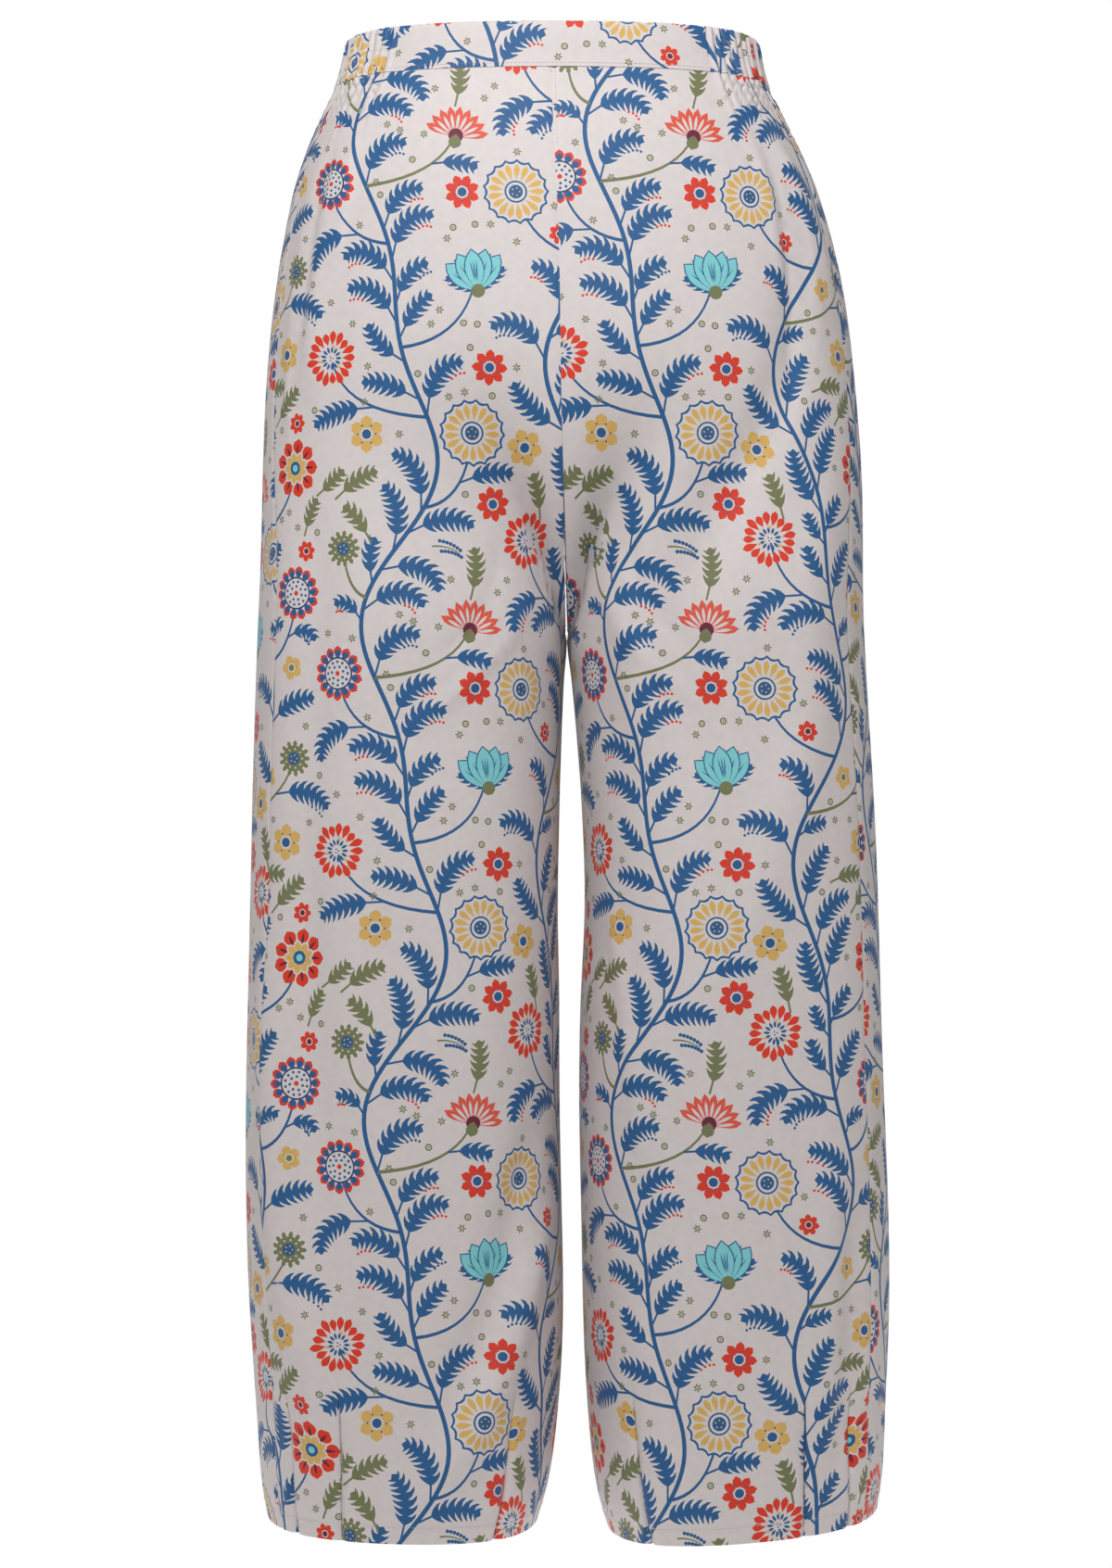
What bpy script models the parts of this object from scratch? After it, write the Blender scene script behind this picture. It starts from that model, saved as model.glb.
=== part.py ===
"""Wide-leg pull-on trousers in their worn, hollow form, held open at the waist.

Two front and two back leg panels hang from a waistband that is flat in front and
gathered on elastic from one side of the front, round the back, to the other.
Each hem is drawn in by six stitched tucks, so the wide legs close a little at the foot.

Frame: metres, +Z up, the wearer faces -Y and the wearer's left is +X. The origin is
the middle of the waistband's ring, halfway up the band.

Every panel is a wall through sections at named depths below the waist's top edge
("down"). Round a section, t runs from 0 at the inner front edge, over the front, the
outer side and the back, to 1 at the inner back edge. Down to the fork the section is
half a trunk, and below the crotch it is a whole leg.
"""
import math
from bisect import bisect_right
from collections import namedtuple
from functools import lru_cache

import bpy
from mathutils import Vector

# ---------------------------------------------------------------- driving sizes
SEAM_GAP = 0.0003
CLOTH_WALL = 0.0012
BAND_WALL = 0.0030
BAND_HEIGHT = 0.031
FORK_START = 0.200          # where the front and the seat begin to part into legs
RISE = 0.400                # waist's top edge to the crotch point
CROTCH_Y = 0.006            # the crotch point lies just behind the middle
HEM = 0.988                 # waist's top edge to the hem
SIDE_SEAM_T = 0.400         # front panels reach 72 degrees round from the front
ELASTIC_START_X = 0.100     # half width of the flat front at the waist's top edge
GATHERS_A_SIDE = 38
GATHER_HALF_DEPTH = 0.0017
BAND_BULGE = 0.0008
EDGE_ROUNDING = 0.0010
TUCK_HEIGHT = 0.055
TUCK_FADE = 0.045
TUCK_HALF_WIDTH = 0.006
TUCK_DEPTH = 0.0028
HEM_TILT_START = 0.850

LEFT, RIGHT = 1, -1         # the wearer's sides
SIDE_NAMES = {LEFT: "left", RIGHT: "right"}

# ---------------------------------------------------------------- short tables
Outline = namedtuple("Outline", "down half_width")
OUTLINE = [
    Outline(0.000, 0.1385), Outline(0.015, 0.1400), Outline(0.031, 0.1450),
    Outline(0.052, 0.1560), Outline(0.077, 0.1680), Outline(0.102, 0.1770),
    Outline(0.152, 0.1885), Outline(0.202, 0.1955), Outline(0.277, 0.2010),
    Outline(0.377, 0.2035), Outline(0.514, 0.2095), Outline(0.639, 0.2130),
    Outline(0.764, 0.2160), Outline(0.840, 0.2155), Outline(0.914, 0.2118),
    Outline(0.964, 0.2090), Outline(0.990, 0.2050),
]

Trunk = namedtuple("Trunk", "down front back fullness")
TRUNK = [
    Trunk(0.000, 0.088, 0.098, 0.035), Trunk(0.031, 0.092, 0.104, 0.035),
    Trunk(0.077, 0.103, 0.124, 0.030), Trunk(0.127, 0.111, 0.140, 0.028),
    Trunk(0.200, 0.117, 0.151, 0.026), Trunk(0.300, 0.118, 0.148, 0.026),
    Trunk(0.400, 0.115, 0.138, 0.026),
]

Leg = namedtuple("Leg", "down gap front back")
LEG = [
    Leg(0.200, 0.0000, 0.114, 0.130), Leg(0.400, 0.0000, 0.108, 0.115),
    Leg(0.427, 0.0025, 0.107, 0.113), Leg(0.464, 0.0050, 0.106, 0.112),
    Leg(0.514, 0.0075, 0.106, 0.111), Leg(0.577, 0.0090, 0.105, 0.109),
    Leg(0.651, 0.0070, 0.105, 0.107), Leg(0.776, 0.0065, 0.105, 0.106),
    Leg(0.864, 0.0070, 0.107, 0.106), Leg(0.926, 0.0110, 0.109, 0.105),
    Leg(0.964, 0.0165, 0.110, 0.104), Leg(0.990, 0.0240, 0.110, 0.102),
]
LEG_FULLNESS = 0.030
CROTCH_REACH_T = 0.110      # how far round the section the crotch curve reaches
SEAM_ROUNDNESS, PANEL_ROUNDNESS = 0.5, 2.0      # a quarter circle, and a soft turn

# How the worn garment hangs: its centre line drifts, and one leg hangs wider.
Hang = namedtuple("Hang", "down lean right_leg_wider")
HANG = [
    Hang(0.000, 0.0000, 0.0000), Hang(0.050, 0.0000, 0.0000),
    Hang(0.150, 0.0044, 0.0000), Hang(0.250, 0.0060, 0.0000),
    Hang(0.400, 0.0098, 0.0040), Hang(0.550, 0.0128, 0.0050),
    Hang(0.700, 0.0115, 0.0030), Hang(0.850, 0.0140, 0.0025),
    Hang(0.990, 0.0135, 0.0000),
]
HEM_TILT = {LEFT: 0.085, RIGHT: 0.030}      # rise towards the outer side

# The largest folds of the hanging cloth. Each runs down through three places
# (down, t), stands out of the panel (depth > 0) or sinks in, and fades at both ends.
Fold = namedtuple("Fold", "leg depth width down_a t_a down_b t_b down_c t_c")
FOLDS = [
    Fold(RIGHT, -0.0055, 0.019, 0.240, 0.330, 0.560, 0.345, 0.880, 0.312),
    Fold(RIGHT, 0.0045, 0.017, 0.560, 0.410, 0.760, 0.385, 0.960, 0.330),
    Fold(RIGHT, 0.0050, 0.016, 0.760, 0.070, 0.880, 0.150, 0.985, 0.235),
    Fold(RIGHT, -0.0040, 0.016, 0.700, 0.100, 0.800, 0.145, 0.930, 0.215),
    Fold(RIGHT, 0.0030, 0.014, 0.060, 0.275, 0.140, 0.290, 0.260, 0.300),
    Fold(LEFT, -0.0060, 0.020, 0.090, 0.320, 0.300, 0.220, 0.600, 0.205),
    Fold(LEFT, 0.0045, 0.022, 0.240, 0.345, 0.450, 0.335, 0.680, 0.215),
    Fold(LEFT, 0.0035, 0.018, 0.240, 0.130, 0.360, 0.150, 0.520, 0.170),
    Fold(LEFT, -0.0045, 0.016, 0.740, 0.372, 0.860, 0.366, 0.985, 0.352),
    Fold(LEFT, 0.0035, 0.014, 0.700, 0.340, 0.850, 0.335, 0.985, 0.320),
    Fold(LEFT, 0.0030, 0.014, 0.055, 0.300, 0.110, 0.345, 0.190, 0.365),
    Fold(RIGHT, -0.0055, 0.020, 0.300, 0.690, 0.520, 0.680, 0.860, 0.705),
    Fold(RIGHT, 0.0045, 0.020, 0.330, 0.860, 0.480, 0.790, 0.760, 0.800),
    Fold(RIGHT, 0.0040, 0.016, 0.780, 0.910, 0.880, 0.850, 0.980, 0.790),
    Fold(RIGHT, 0.0030, 0.015, 0.060, 0.640, 0.130, 0.660, 0.230, 0.650),
    Fold(RIGHT, -0.0030, 0.016, 0.060, 0.840, 0.150, 0.830, 0.280, 0.850),
    Fold(LEFT, -0.0060, 0.020, 0.320, 0.720, 0.540, 0.700, 0.820, 0.675),
    Fold(LEFT, 0.0045, 0.019, 0.340, 0.850, 0.520, 0.800, 0.700, 0.830),
    Fold(LEFT, 0.0040, 0.016, 0.760, 0.640, 0.860, 0.655, 0.980, 0.665),
    Fold(LEFT, 0.0030, 0.015, 0.060, 0.600, 0.120, 0.590, 0.210, 0.610),
    Fold(LEFT, -0.0030, 0.016, 0.060, 0.790, 0.140, 0.800, 0.260, 0.780),
]
FOLD_FADE = 0.30            # share of a fold's length over which each end fades
SEAM_CLEARANCE_T = 0.050    # folds die out this close to the centre seams and inseams

# Distance of each hem tuck from the leg's front centre, outwards positive. The back
# of the hem has the same three.
TUCK_FROM_CENTRE = (-0.073, 0.037, 0.077)

# ---------------------------------------------------------------- mesh density
GATHERED_DOWNS = (BAND_HEIGHT + SEAM_GAP, 0.046, 0.064)
TRUNK_DOWNS = (0.088, 0.115, 0.145, 0.180)
FORK_ANGLES = (0, 15, 30, 44, 57, 68, 79, 90)     # even steps round the crotch curve
LEG_DOWNS = (0.428, 0.470, 0.520, 0.570, 0.620, 0.670, 0.720, 0.770, 0.820, 0.860)
HEM_DOWNS = (0.890, 0.918, HEM - TUCK_HEIGHT, 0.955, 0.972, HEM)
FRONT_COLUMNS = 13
BACK_COLUMNS = 18
FLAT_BAND_COLUMNS = 7
DIFFERENCE_STEP = 0.0015

Cloth = namedtuple("Cloth", "colour roughness")
CLOTHS = {
    "front_left": Cloth((0.690, 0.645, 0.625), 0.62),
    "front_right": Cloth((0.680, 0.636, 0.618), 0.62),
    "back_left": Cloth((0.670, 0.627, 0.610), 0.62),
    "back_right": Cloth((0.662, 0.620, 0.604), 0.62),
    "waistband_front": Cloth((0.700, 0.655, 0.632), 0.60),
    "waistband_back": Cloth((0.655, 0.612, 0.596), 0.66),
}


# ---------------------------------------------------------------- reading tables
def read_row(rows, down):
    """The values of a table at a depth, on a smooth curve through its rows."""
    keys = [row[0] for row in rows]
    down = min(max(down, keys[0]), keys[-1])
    lower = min(bisect_right(keys, down), len(rows) - 1) - 1
    upper = lower + 1
    span = keys[upper] - keys[lower]
    share = (down - keys[lower]) / span

    def slope(index, column):
        before, after = max(index - 1, 0), min(index + 1, len(rows) - 1)
        return (rows[after][column] - rows[before][column]) / (keys[after] - keys[before])

    values = []
    for column in range(1, len(rows[0])):
        start, end = rows[lower][column], rows[upper][column]
        ease = share * share * (3 - 2 * share)
        leave = share * (1 - share) ** 2 * span * slope(lower, column)
        arrive = share * share * (share - 1) * span * slope(upper, column)
        values.append(start + (end - start) * ease + leave + arrive)
    return values


def smoothstep(value):
    """0 below 0, 1 above 1, and a soft step between."""
    value = min(max(value, 0.0), 1.0)
    return value * value * (3 - 2 * value)


# ---------------------------------------------------------------- the sections
def full_sine(angle, fullness):
    """The sine, made a little squarer, so that a section is fuller than an ellipse."""
    return (math.sin(angle) + fullness * math.sin(3 * angle)) / (1 - fullness)


def full_cosine(angle, fullness):
    """The cosine, made squarer in the same way."""
    return (math.cos(angle) - fullness * math.cos(3 * angle)) / (1 - fullness)


def fork_share(t, down):
    """How far the section has turned from half a trunk (0) into a leg (1).

    At the centre seams it follows the crotch curve, a quarter circle that ends level.
    Away from them it turns softly, with no ledge at the crotch's height.
    """
    reach = (down - FORK_START) / (RISE - FORK_START)
    reach = min(max(reach, 0.0), 1.0)
    away = smoothstep(min(t, 1 - t) / CROTCH_REACH_T)
    roundness = SEAM_ROUNDNESS + (PANEL_ROUNDNESS - SEAM_ROUNDNESS) * away
    return 1 - (1 - reach * reach) ** roundness


def trunk_point(t, down):
    """Half of the trunk's section, from the centre front round to the centre back."""
    half_width, = read_row(OUTLINE, down)
    front, back, fullness = read_row(TRUNK, down)
    angle = math.pi * t
    forward = full_cosine(angle, fullness)
    depth = front if forward > 0 else back
    return half_width * full_sine(angle, fullness), -depth * forward


def leg_point(t, down, side, gap):
    """A leg's section, from the inseam over the front and the outer side, and back."""
    half_width, = read_row(OUTLINE, down)
    inner, front, back = read_row(LEG, down)
    wider = read_row(HANG, down)[1]
    outer = half_width - side * wider
    centre, radius = (outer + inner) / 2, (outer - inner) / 2
    angle = 2 * math.pi * t
    forward = full_sine(angle, LEG_FULLNESS)
    depth = front if forward > 0 else back
    behind = 0.5 < t <= 1.0
    parting = (gap if behind else -gap) / 2 * math.cos(angle / 2) ** 2
    across = centre - radius * full_cosine(angle, LEG_FULLNESS)
    return across, CROTCH_Y - depth * forward + parting


def hem_drop(side, across, down):
    """How much lower the cloth hangs because the hem is tilted."""
    half_width, = read_row(OUTLINE, down)
    settle = smoothstep((down - HEM_TILT_START) / (HEM - HEM_TILT_START))
    return HEM_TILT[side] * settle * (half_width / 2 - across)


def plain_point(side, t, down, gap=SEAM_GAP):
    """A point of the unfolded surface, in the garment's frame."""
    share = fork_share(t, down)
    trunk_x, trunk_y = trunk_point(t, down)
    leg_x, leg_y = leg_point(t, down, side, gap)
    across = trunk_x + (leg_x - trunk_x) * share
    depth = trunk_y + (leg_y - trunk_y) * share
    lean = read_row(HANG, down)[0]
    level = BAND_HEIGHT / 2 - down - hem_drop(side, across, down)
    return Vector((side * (across + gap / 2) + lean, depth, level))


def plain_normal(side, t, down):
    """The outward normal of the unfolded surface."""
    step_t = DIFFERENCE_STEP
    along = plain_point(side, t + step_t, down, 0) - plain_point(side, t - step_t, down, 0)
    fall = (plain_point(side, t, down + DIFFERENCE_STEP, 0)
            - plain_point(side, t, down - DIFFERENCE_STEP, 0))
    normal = fall.cross(along) * side
    on_inseam = down > RISE - DIFFERENCE_STEP and (t <= 0 or t >= 1)
    if on_inseam:
        normal.y = 0
    return normal.normalized()


def girth(side, down):
    """The length of one section, from its front edge to its back edge."""
    steps = 24
    points = [plain_point(side, step / steps, down, 0) for step in range(steps + 1)]
    return sum((b - a).length for a, b in zip(points, points[1:]))


# ---------------------------------------------------------------- gathers and folds
@lru_cache
def elastic_start_t():
    """The place round the waist where the flat front ends and the elastic begins."""
    low, high = 0.0, SIDE_SEAM_T
    for _ in range(30):
        middle = (low + high) / 2
        if trunk_point(middle, 0.0)[0] < ELASTIC_START_X:
            low = middle
        else:
            high = middle
    return low


def gather_wave(t):
    """1 on a gather's crest, -1 in the groove beside it, and 0 on the flat front."""
    start = elastic_start_t()
    if t <= start:
        return 0.0
    phase = GATHERS_A_SIDE * (t - start) / (1 - start)
    wave = 1 - 4 * abs(phase - math.floor(phase) - 0.5)
    return wave * min(1.0, 2 * phase)


def gather_strength(down):
    """The gathers are full at the waist seam and have run out a hand's width lower."""
    return 1 - smoothstep((down - BAND_HEIGHT) / (TRUNK_DOWNS[0] - BAND_HEIGHT))


def tuck_places(side):
    """The places round the hem of the six stitched tucks."""
    hem_girth = girth(side, HEM)
    fronts = [0.25 + distance / hem_girth for distance in TUCK_FROM_CENTRE]
    return sorted(fronts + [1 - place for place in fronts])


def fold_height(side, t, down, length):
    """How far the folds and tucks move the cloth out (+) or in (-) at a place."""
    height = 0.0
    for fold in FOLDS:
        if fold.leg != side or not fold.down_a < down < fold.down_c:
            continue
        if down < fold.down_b:
            share = (down - fold.down_a) / (fold.down_b - fold.down_a)
            place = fold.t_a + (fold.t_b - fold.t_a) * share
        else:
            share = (down - fold.down_b) / (fold.down_c - fold.down_b)
            place = fold.t_b + (fold.t_c - fold.t_b) * share
        run = (down - fold.down_a) / (fold.down_c - fold.down_a)
        fade = smoothstep(run / FOLD_FADE) * smoothstep((1 - run) / FOLD_FADE)
        off = (t - place) * length / fold.width
        height += fold.depth * fade * math.exp(-off * off)
    return height * smoothstep(min(t, 1 - t) / SEAM_CLEARANCE_T)


def tuck_height(tucks, t, down, length):
    """How deep the stitched tucks draw the cloth in above the hem."""
    top = HEM - TUCK_HEIGHT
    strength = smoothstep((down - top + TUCK_FADE) / TUCK_FADE)
    nearest = min(abs(t - place) * length for place in tucks)
    return -TUCK_DEPTH * strength * max(0.0, 1 - nearest / TUCK_HALF_WIDTH)


# ---------------------------------------------------------------- panels
def panel_downs():
    """The depths of a panel's rows, close together where the crotch curve turns."""
    reach = RISE - FORK_START
    fork = [FORK_START + reach * math.sin(math.radians(angle)) for angle in FORK_ANGLES]
    return [*GATHERED_DOWNS, *TRUNK_DOWNS, *fork, *LEG_DOWNS, *HEM_DOWNS]


def even_columns(first, last, count):
    """Places round a section at even steps."""
    return [first + (last - first) * index / count for index in range(count + 1)]


def panel_columns(first, last, count, down, tucks, hem_girth):
    """The places of a row's points: finer at the gathers and beside the tucks."""
    columns = even_columns(first, last, count)
    margin = 0.25 * (last - first) / count
    extra = []
    if down in GATHERED_DOWNS:
        start = elastic_start_t()
        step = (1 - start) / (2 * GATHERS_A_SIDE)
        extra = [start + step * index for index in range(2 * GATHERS_A_SIDE)]
        columns = [t for t in columns if t < start - margin or t in (first, last)]
        margin = 0.25 * step
    elif down in HEM_DOWNS:
        reach = TUCK_HALF_WIDTH / hem_girth
        extra = [place + offset for place in tucks for offset in (-reach, 0, reach)]
        columns = [t for t in columns if t in (first, last)
                   or all(abs(t - place) > 1.6 * reach for place in tucks)]
        margin = 0.25 * reach
    extra = [t for t in extra if first + margin < t < last - margin]
    return sorted(columns + extra)


def edge_shift(side, down):
    """Half the seam's gap, as a step of t at the side seam."""
    step = DIFFERENCE_STEP
    ahead = plain_point(side, SIDE_SEAM_T + step, down, 0)
    behind = plain_point(side, SIDE_SEAM_T - step, down, 0)
    return SEAM_GAP / 2 / ((ahead - behind).length / (2 * step))


def lace_rows(upper, lower, upper_places, lower_places):
    """Triangles between two rows of points, so that a wall's two sides fold alike."""
    faces = []
    i, j = 0, 0
    while i < len(upper) - 1 or j < len(lower) - 1:
        upper_done, lower_done = i == len(upper) - 1, j == len(lower) - 1
        if lower_done or (not upper_done and upper_places[i + 1] <= lower_places[j + 1]):
            faces.append((upper[i], lower[j], upper[i + 1]))
            i += 1
        else:
            faces.append((upper[i], lower[j], lower[j + 1]))
            j += 1
    return faces


def wall_mesh(name, rows, places, flip):
    """A closed wall from rows of (outer, inner) points."""
    outer, inner, points = [], [], []
    for row in rows:
        outer.append(range(len(points), len(points) + len(row)))
        points.extend(pair[0] for pair in row)
        inner.append(range(len(points), len(points) + len(row)))
        points.extend(pair[1] for pair in row)
    faces = []
    for k in range(len(rows) - 1):
        faces += lace_rows(outer[k], outer[k + 1], places[k], places[k + 1])
        faces += [face[::-1] for face in
                  lace_rows(inner[k], inner[k + 1], places[k], places[k + 1])]
        faces.append((outer[k + 1][0], outer[k][0], inner[k][0], inner[k + 1][0]))
        faces.append((outer[k][-1], outer[k + 1][-1], inner[k + 1][-1], inner[k][-1]))
    for i in range(len(rows[0]) - 1):
        faces.append((outer[0][i], outer[0][i + 1], inner[0][i + 1], inner[0][i]))
    for i in range(len(rows[-1]) - 1):
        faces.append((outer[-1][i + 1], outer[-1][i], inner[-1][i], inner[-1][i + 1]))
    if flip:
        faces = [face[::-1] for face in faces]
    mesh = bpy.data.meshes.new(name)
    mesh.from_pydata(points, [], faces)
    mesh.update()
    mesh.shade_smooth()
    mesh.set_sharp_from_angle(angle=math.radians(50))
    return mesh


def leg_panel(side, front):
    """The wall of one front or back panel, from the waist seam to the hem."""
    tucks = tuck_places(side)
    hem_girth = girth(side, HEM)
    first, last = (0.0, SIDE_SEAM_T) if front else (SIDE_SEAM_T, 1.0)
    count = FRONT_COLUMNS if front else BACK_COLUMNS
    rows, places = [], []
    for down in panel_downs():
        columns = panel_columns(first, last, count, down, tucks, hem_girth)
        length = girth(side, down)
        shift = edge_shift(side, down)
        row = []
        for t in columns:
            edge = t == SIDE_SEAM_T
            place = t + (-shift if front else shift) if edge else t
            normal = plain_normal(side, place, down)
            height = fold_height(side, place, down, length)
            height += tuck_height(tucks, place, down, length)
            height += GATHER_HALF_DEPTH * gather_strength(down) * gather_wave(place)
            outer = plain_point(side, place, down) + normal * height
            row.append((outer, outer - normal * CLOTH_WALL))
        rows.append(row)
        places.append(columns)
    name = f"{'front' if front else 'back'}_{SIDE_NAMES[side]}"
    return wall_mesh(name, rows, places, flip=side == RIGHT)


# ---------------------------------------------------------------- waistband
def band_section():
    """The band's section, as (down, out) points round it, from its outer lower edge."""
    return [
        (BAND_HEIGHT, 0.0), (BAND_HEIGHT / 2, BAND_BULGE), (EDGE_ROUNDING, 0.0002),
        (0.0, -BAND_WALL / 2), (EDGE_ROUNDING, -BAND_WALL), (BAND_HEIGHT, -BAND_WALL),
    ]


# The triangles that close a band's end, so that two ends which face each other agree.
BAND_END = [(0, 1, 5), (1, 4, 5), (1, 2, 4), (2, 3, 4)]


def band_mesh(name, stations, gathered):
    """A closed band through (side, t) stations, running from the left to the right."""
    section = band_section()
    points = []
    for side, t in stations:
        wave = GATHER_HALF_DEPTH * gather_wave(t) if gathered else 0.0
        for down, out in section:
            strength = 0.6 if down <= EDGE_ROUNDING else 1.0
            place = plain_point(side, t, down, 0)
            points.append(place + plain_normal(side, t, down) * (out + wave * strength))
    count = len(section)
    faces = []
    for k in range(len(stations) - 1):
        for i in range(count):
            j = (i + 1) % count
            faces.append((k * count + j, k * count + i,
                          (k + 1) * count + i, (k + 1) * count + j))
    last = (len(stations) - 1) * count
    faces += BAND_END
    faces += [tuple(last + corner for corner in reversed(face)) for face in BAND_END]
    mesh = bpy.data.meshes.new(name)
    mesh.from_pydata(points, [], faces)
    mesh.update()
    mesh.shade_smooth()
    mesh.set_sharp_from_angle(angle=math.radians(50))
    return mesh


def band_gap_t():
    """Half the gap between the two band pieces, as a step of t."""
    start, step = elastic_start_t(), DIFFERENCE_STEP
    run = plain_point(LEFT, start + step, 0, 0) - plain_point(LEFT, start - step, 0, 0)
    return SEAM_GAP / 2 / (run.length / (2 * step))


def front_band_mesh():
    """The flat, interfaced front of the waistband."""
    end = elastic_start_t() - band_gap_t()
    half = even_columns(0.0, end, FLAT_BAND_COLUMNS)
    stations = [(RIGHT, t) for t in reversed(half)] + [(LEFT, t) for t in half[1:]]
    return band_mesh("waistband_front", stations, gathered=False)


def back_band_mesh():
    """The gathered casing of the elastic, round the sides and the back."""
    start = elastic_start_t()
    step = (1 - start) / (2 * GATHERS_A_SIDE)
    half = [start + step * index for index in range(2 * GATHERS_A_SIDE + 1)]
    half[0] += band_gap_t()
    stations = [(LEFT, t) for t in half] + [(RIGHT, t) for t in reversed(half[:-1])]
    return band_mesh("waistband_back", stations, gathered=True)


# ---------------------------------------------------------------- the garment
def cloth_material(name):
    """The plain ground cloth of one piece."""
    cloth = CLOTHS[name]
    material = bpy.data.materials.new(f"{name}_cloth")
    material.use_nodes = True
    shader = material.node_tree.nodes["Principled BSDF"]
    shader.inputs["Base Color"].default_value = (*cloth.colour, 1.0)
    shader.inputs["Roughness"].default_value = cloth.roughness
    shader.inputs["Metallic"].default_value = 0.0
    return material


def add_piece(mesh, parent):
    """One named piece of the garment, in its own cloth."""
    mesh.materials.append(cloth_material(mesh.name))
    piece = bpy.data.objects.new(mesh.name, mesh)
    piece.parent = parent
    bpy.context.collection.objects.link(piece)


def build_trousers():
    """All six sewn pieces, hanging from the waist."""
    for thing in list(bpy.data.objects):
        bpy.data.objects.remove(thing, do_unlink=True)
    waist = bpy.data.objects.new("waist", None)
    bpy.context.collection.objects.link(waist)
    for side in (LEFT, RIGHT):
        add_piece(leg_panel(side, front=True), waist)
        add_piece(leg_panel(side, front=False), waist)
    add_piece(front_band_mesh(), waist)
    add_piece(back_band_mesh(), waist)


build_trousers()
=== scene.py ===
"""Looks of the wide-leg trousers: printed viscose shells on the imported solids.

The shells repeat the garment's section tables, so they lie on the solids' form, and
add what the solids leave out: finer gathers and creases, the print, the tucks' folded
cloth and the stitching. Frame: metres, +Z up, the wearer faces -Y, the wearer's left is
+X, and the origin is the middle of the waistband's ring.

Places on a leg are (t, down). "down" is the depth below the waist's top edge. t runs
from 0 at the inner front edge, over the front, the outer side and the back, to 1 at
the inner back edge. Places on the flat cloth are (u, v): u across, positive outwards,
and v the same depth as down.
"""
import logging
import math
import random
from collections.abc import Callable, Sequence
from dataclasses import dataclass
from enum import Enum
from typing import ClassVar

import bpy  # noqa: E402
import numpy as np  # noqa: E402
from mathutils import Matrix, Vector  # noqa: E402
from mathutils.geometry import delaunay_2d_cdt  # noqa: E402
from mathutils.kdtree import KDTree  # noqa: E402

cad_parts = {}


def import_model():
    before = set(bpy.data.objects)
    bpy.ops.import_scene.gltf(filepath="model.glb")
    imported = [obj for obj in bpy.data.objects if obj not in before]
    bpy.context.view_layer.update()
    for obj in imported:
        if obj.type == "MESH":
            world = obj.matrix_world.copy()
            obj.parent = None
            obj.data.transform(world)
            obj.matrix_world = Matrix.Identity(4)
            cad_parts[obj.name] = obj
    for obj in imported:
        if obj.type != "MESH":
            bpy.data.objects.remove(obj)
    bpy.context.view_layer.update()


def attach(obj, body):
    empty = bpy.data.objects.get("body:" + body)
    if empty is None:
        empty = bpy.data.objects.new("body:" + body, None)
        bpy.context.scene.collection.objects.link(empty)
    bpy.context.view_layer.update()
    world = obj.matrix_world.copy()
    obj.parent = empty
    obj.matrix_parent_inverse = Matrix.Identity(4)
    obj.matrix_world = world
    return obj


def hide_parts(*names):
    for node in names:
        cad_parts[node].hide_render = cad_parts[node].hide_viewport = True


log = logging.getLogger("trousers")

Array = np.ndarray
Pair = tuple[float, float]
Laying = Callable[[Array, Array], Array]
Materials = tuple[bpy.types.Material, bpy.types.Material]


# ---------------------------------------------------------------- sizes and tables
class Side(Enum):
    """The wearer's sides, with the sign of their x."""

    LEFT = 1
    RIGHT = -1


@dataclass(frozen=True)
class Sizes:
    """The garment's driving sizes in metres, the same as the solids'."""

    band_height: float = 0.031
    fork_start: float = 0.200
    rise: float = 0.400
    crotch_y: float = 0.006
    hem: float = 0.988
    side_seam_t: float = 0.400
    elastic_start_x: float = 0.100
    gathers_a_side: int = 38
    gather_half_depth: float = 0.0017
    gather_end: float = 0.088
    band_bulge: float = 0.0008
    band_wall: float = 0.0030
    edge_rounding: float = 0.0010
    tuck_height: float = 0.055
    tuck_fade: float = 0.045
    tuck_half_width: float = 0.006
    tuck_depth: float = 0.0028
    tuck_cloth: float = 0.012
    hem_tilt_start: float = 0.850
    leg_fullness: float = 0.030
    crotch_reach_t: float = 0.110
    seam_roundness: float = 0.5
    panel_roundness: float = 2.0
    fold_fade: float = 0.30
    seam_clearance_t: float = 0.050
    cloth_thickness: float = 0.0005


SIZES = Sizes()
HEM_TILT = {Side.LEFT: 0.085, Side.RIGHT: 0.030}
TUCK_FROM_CENTRE = (-0.073, 0.037, 0.077)

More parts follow.
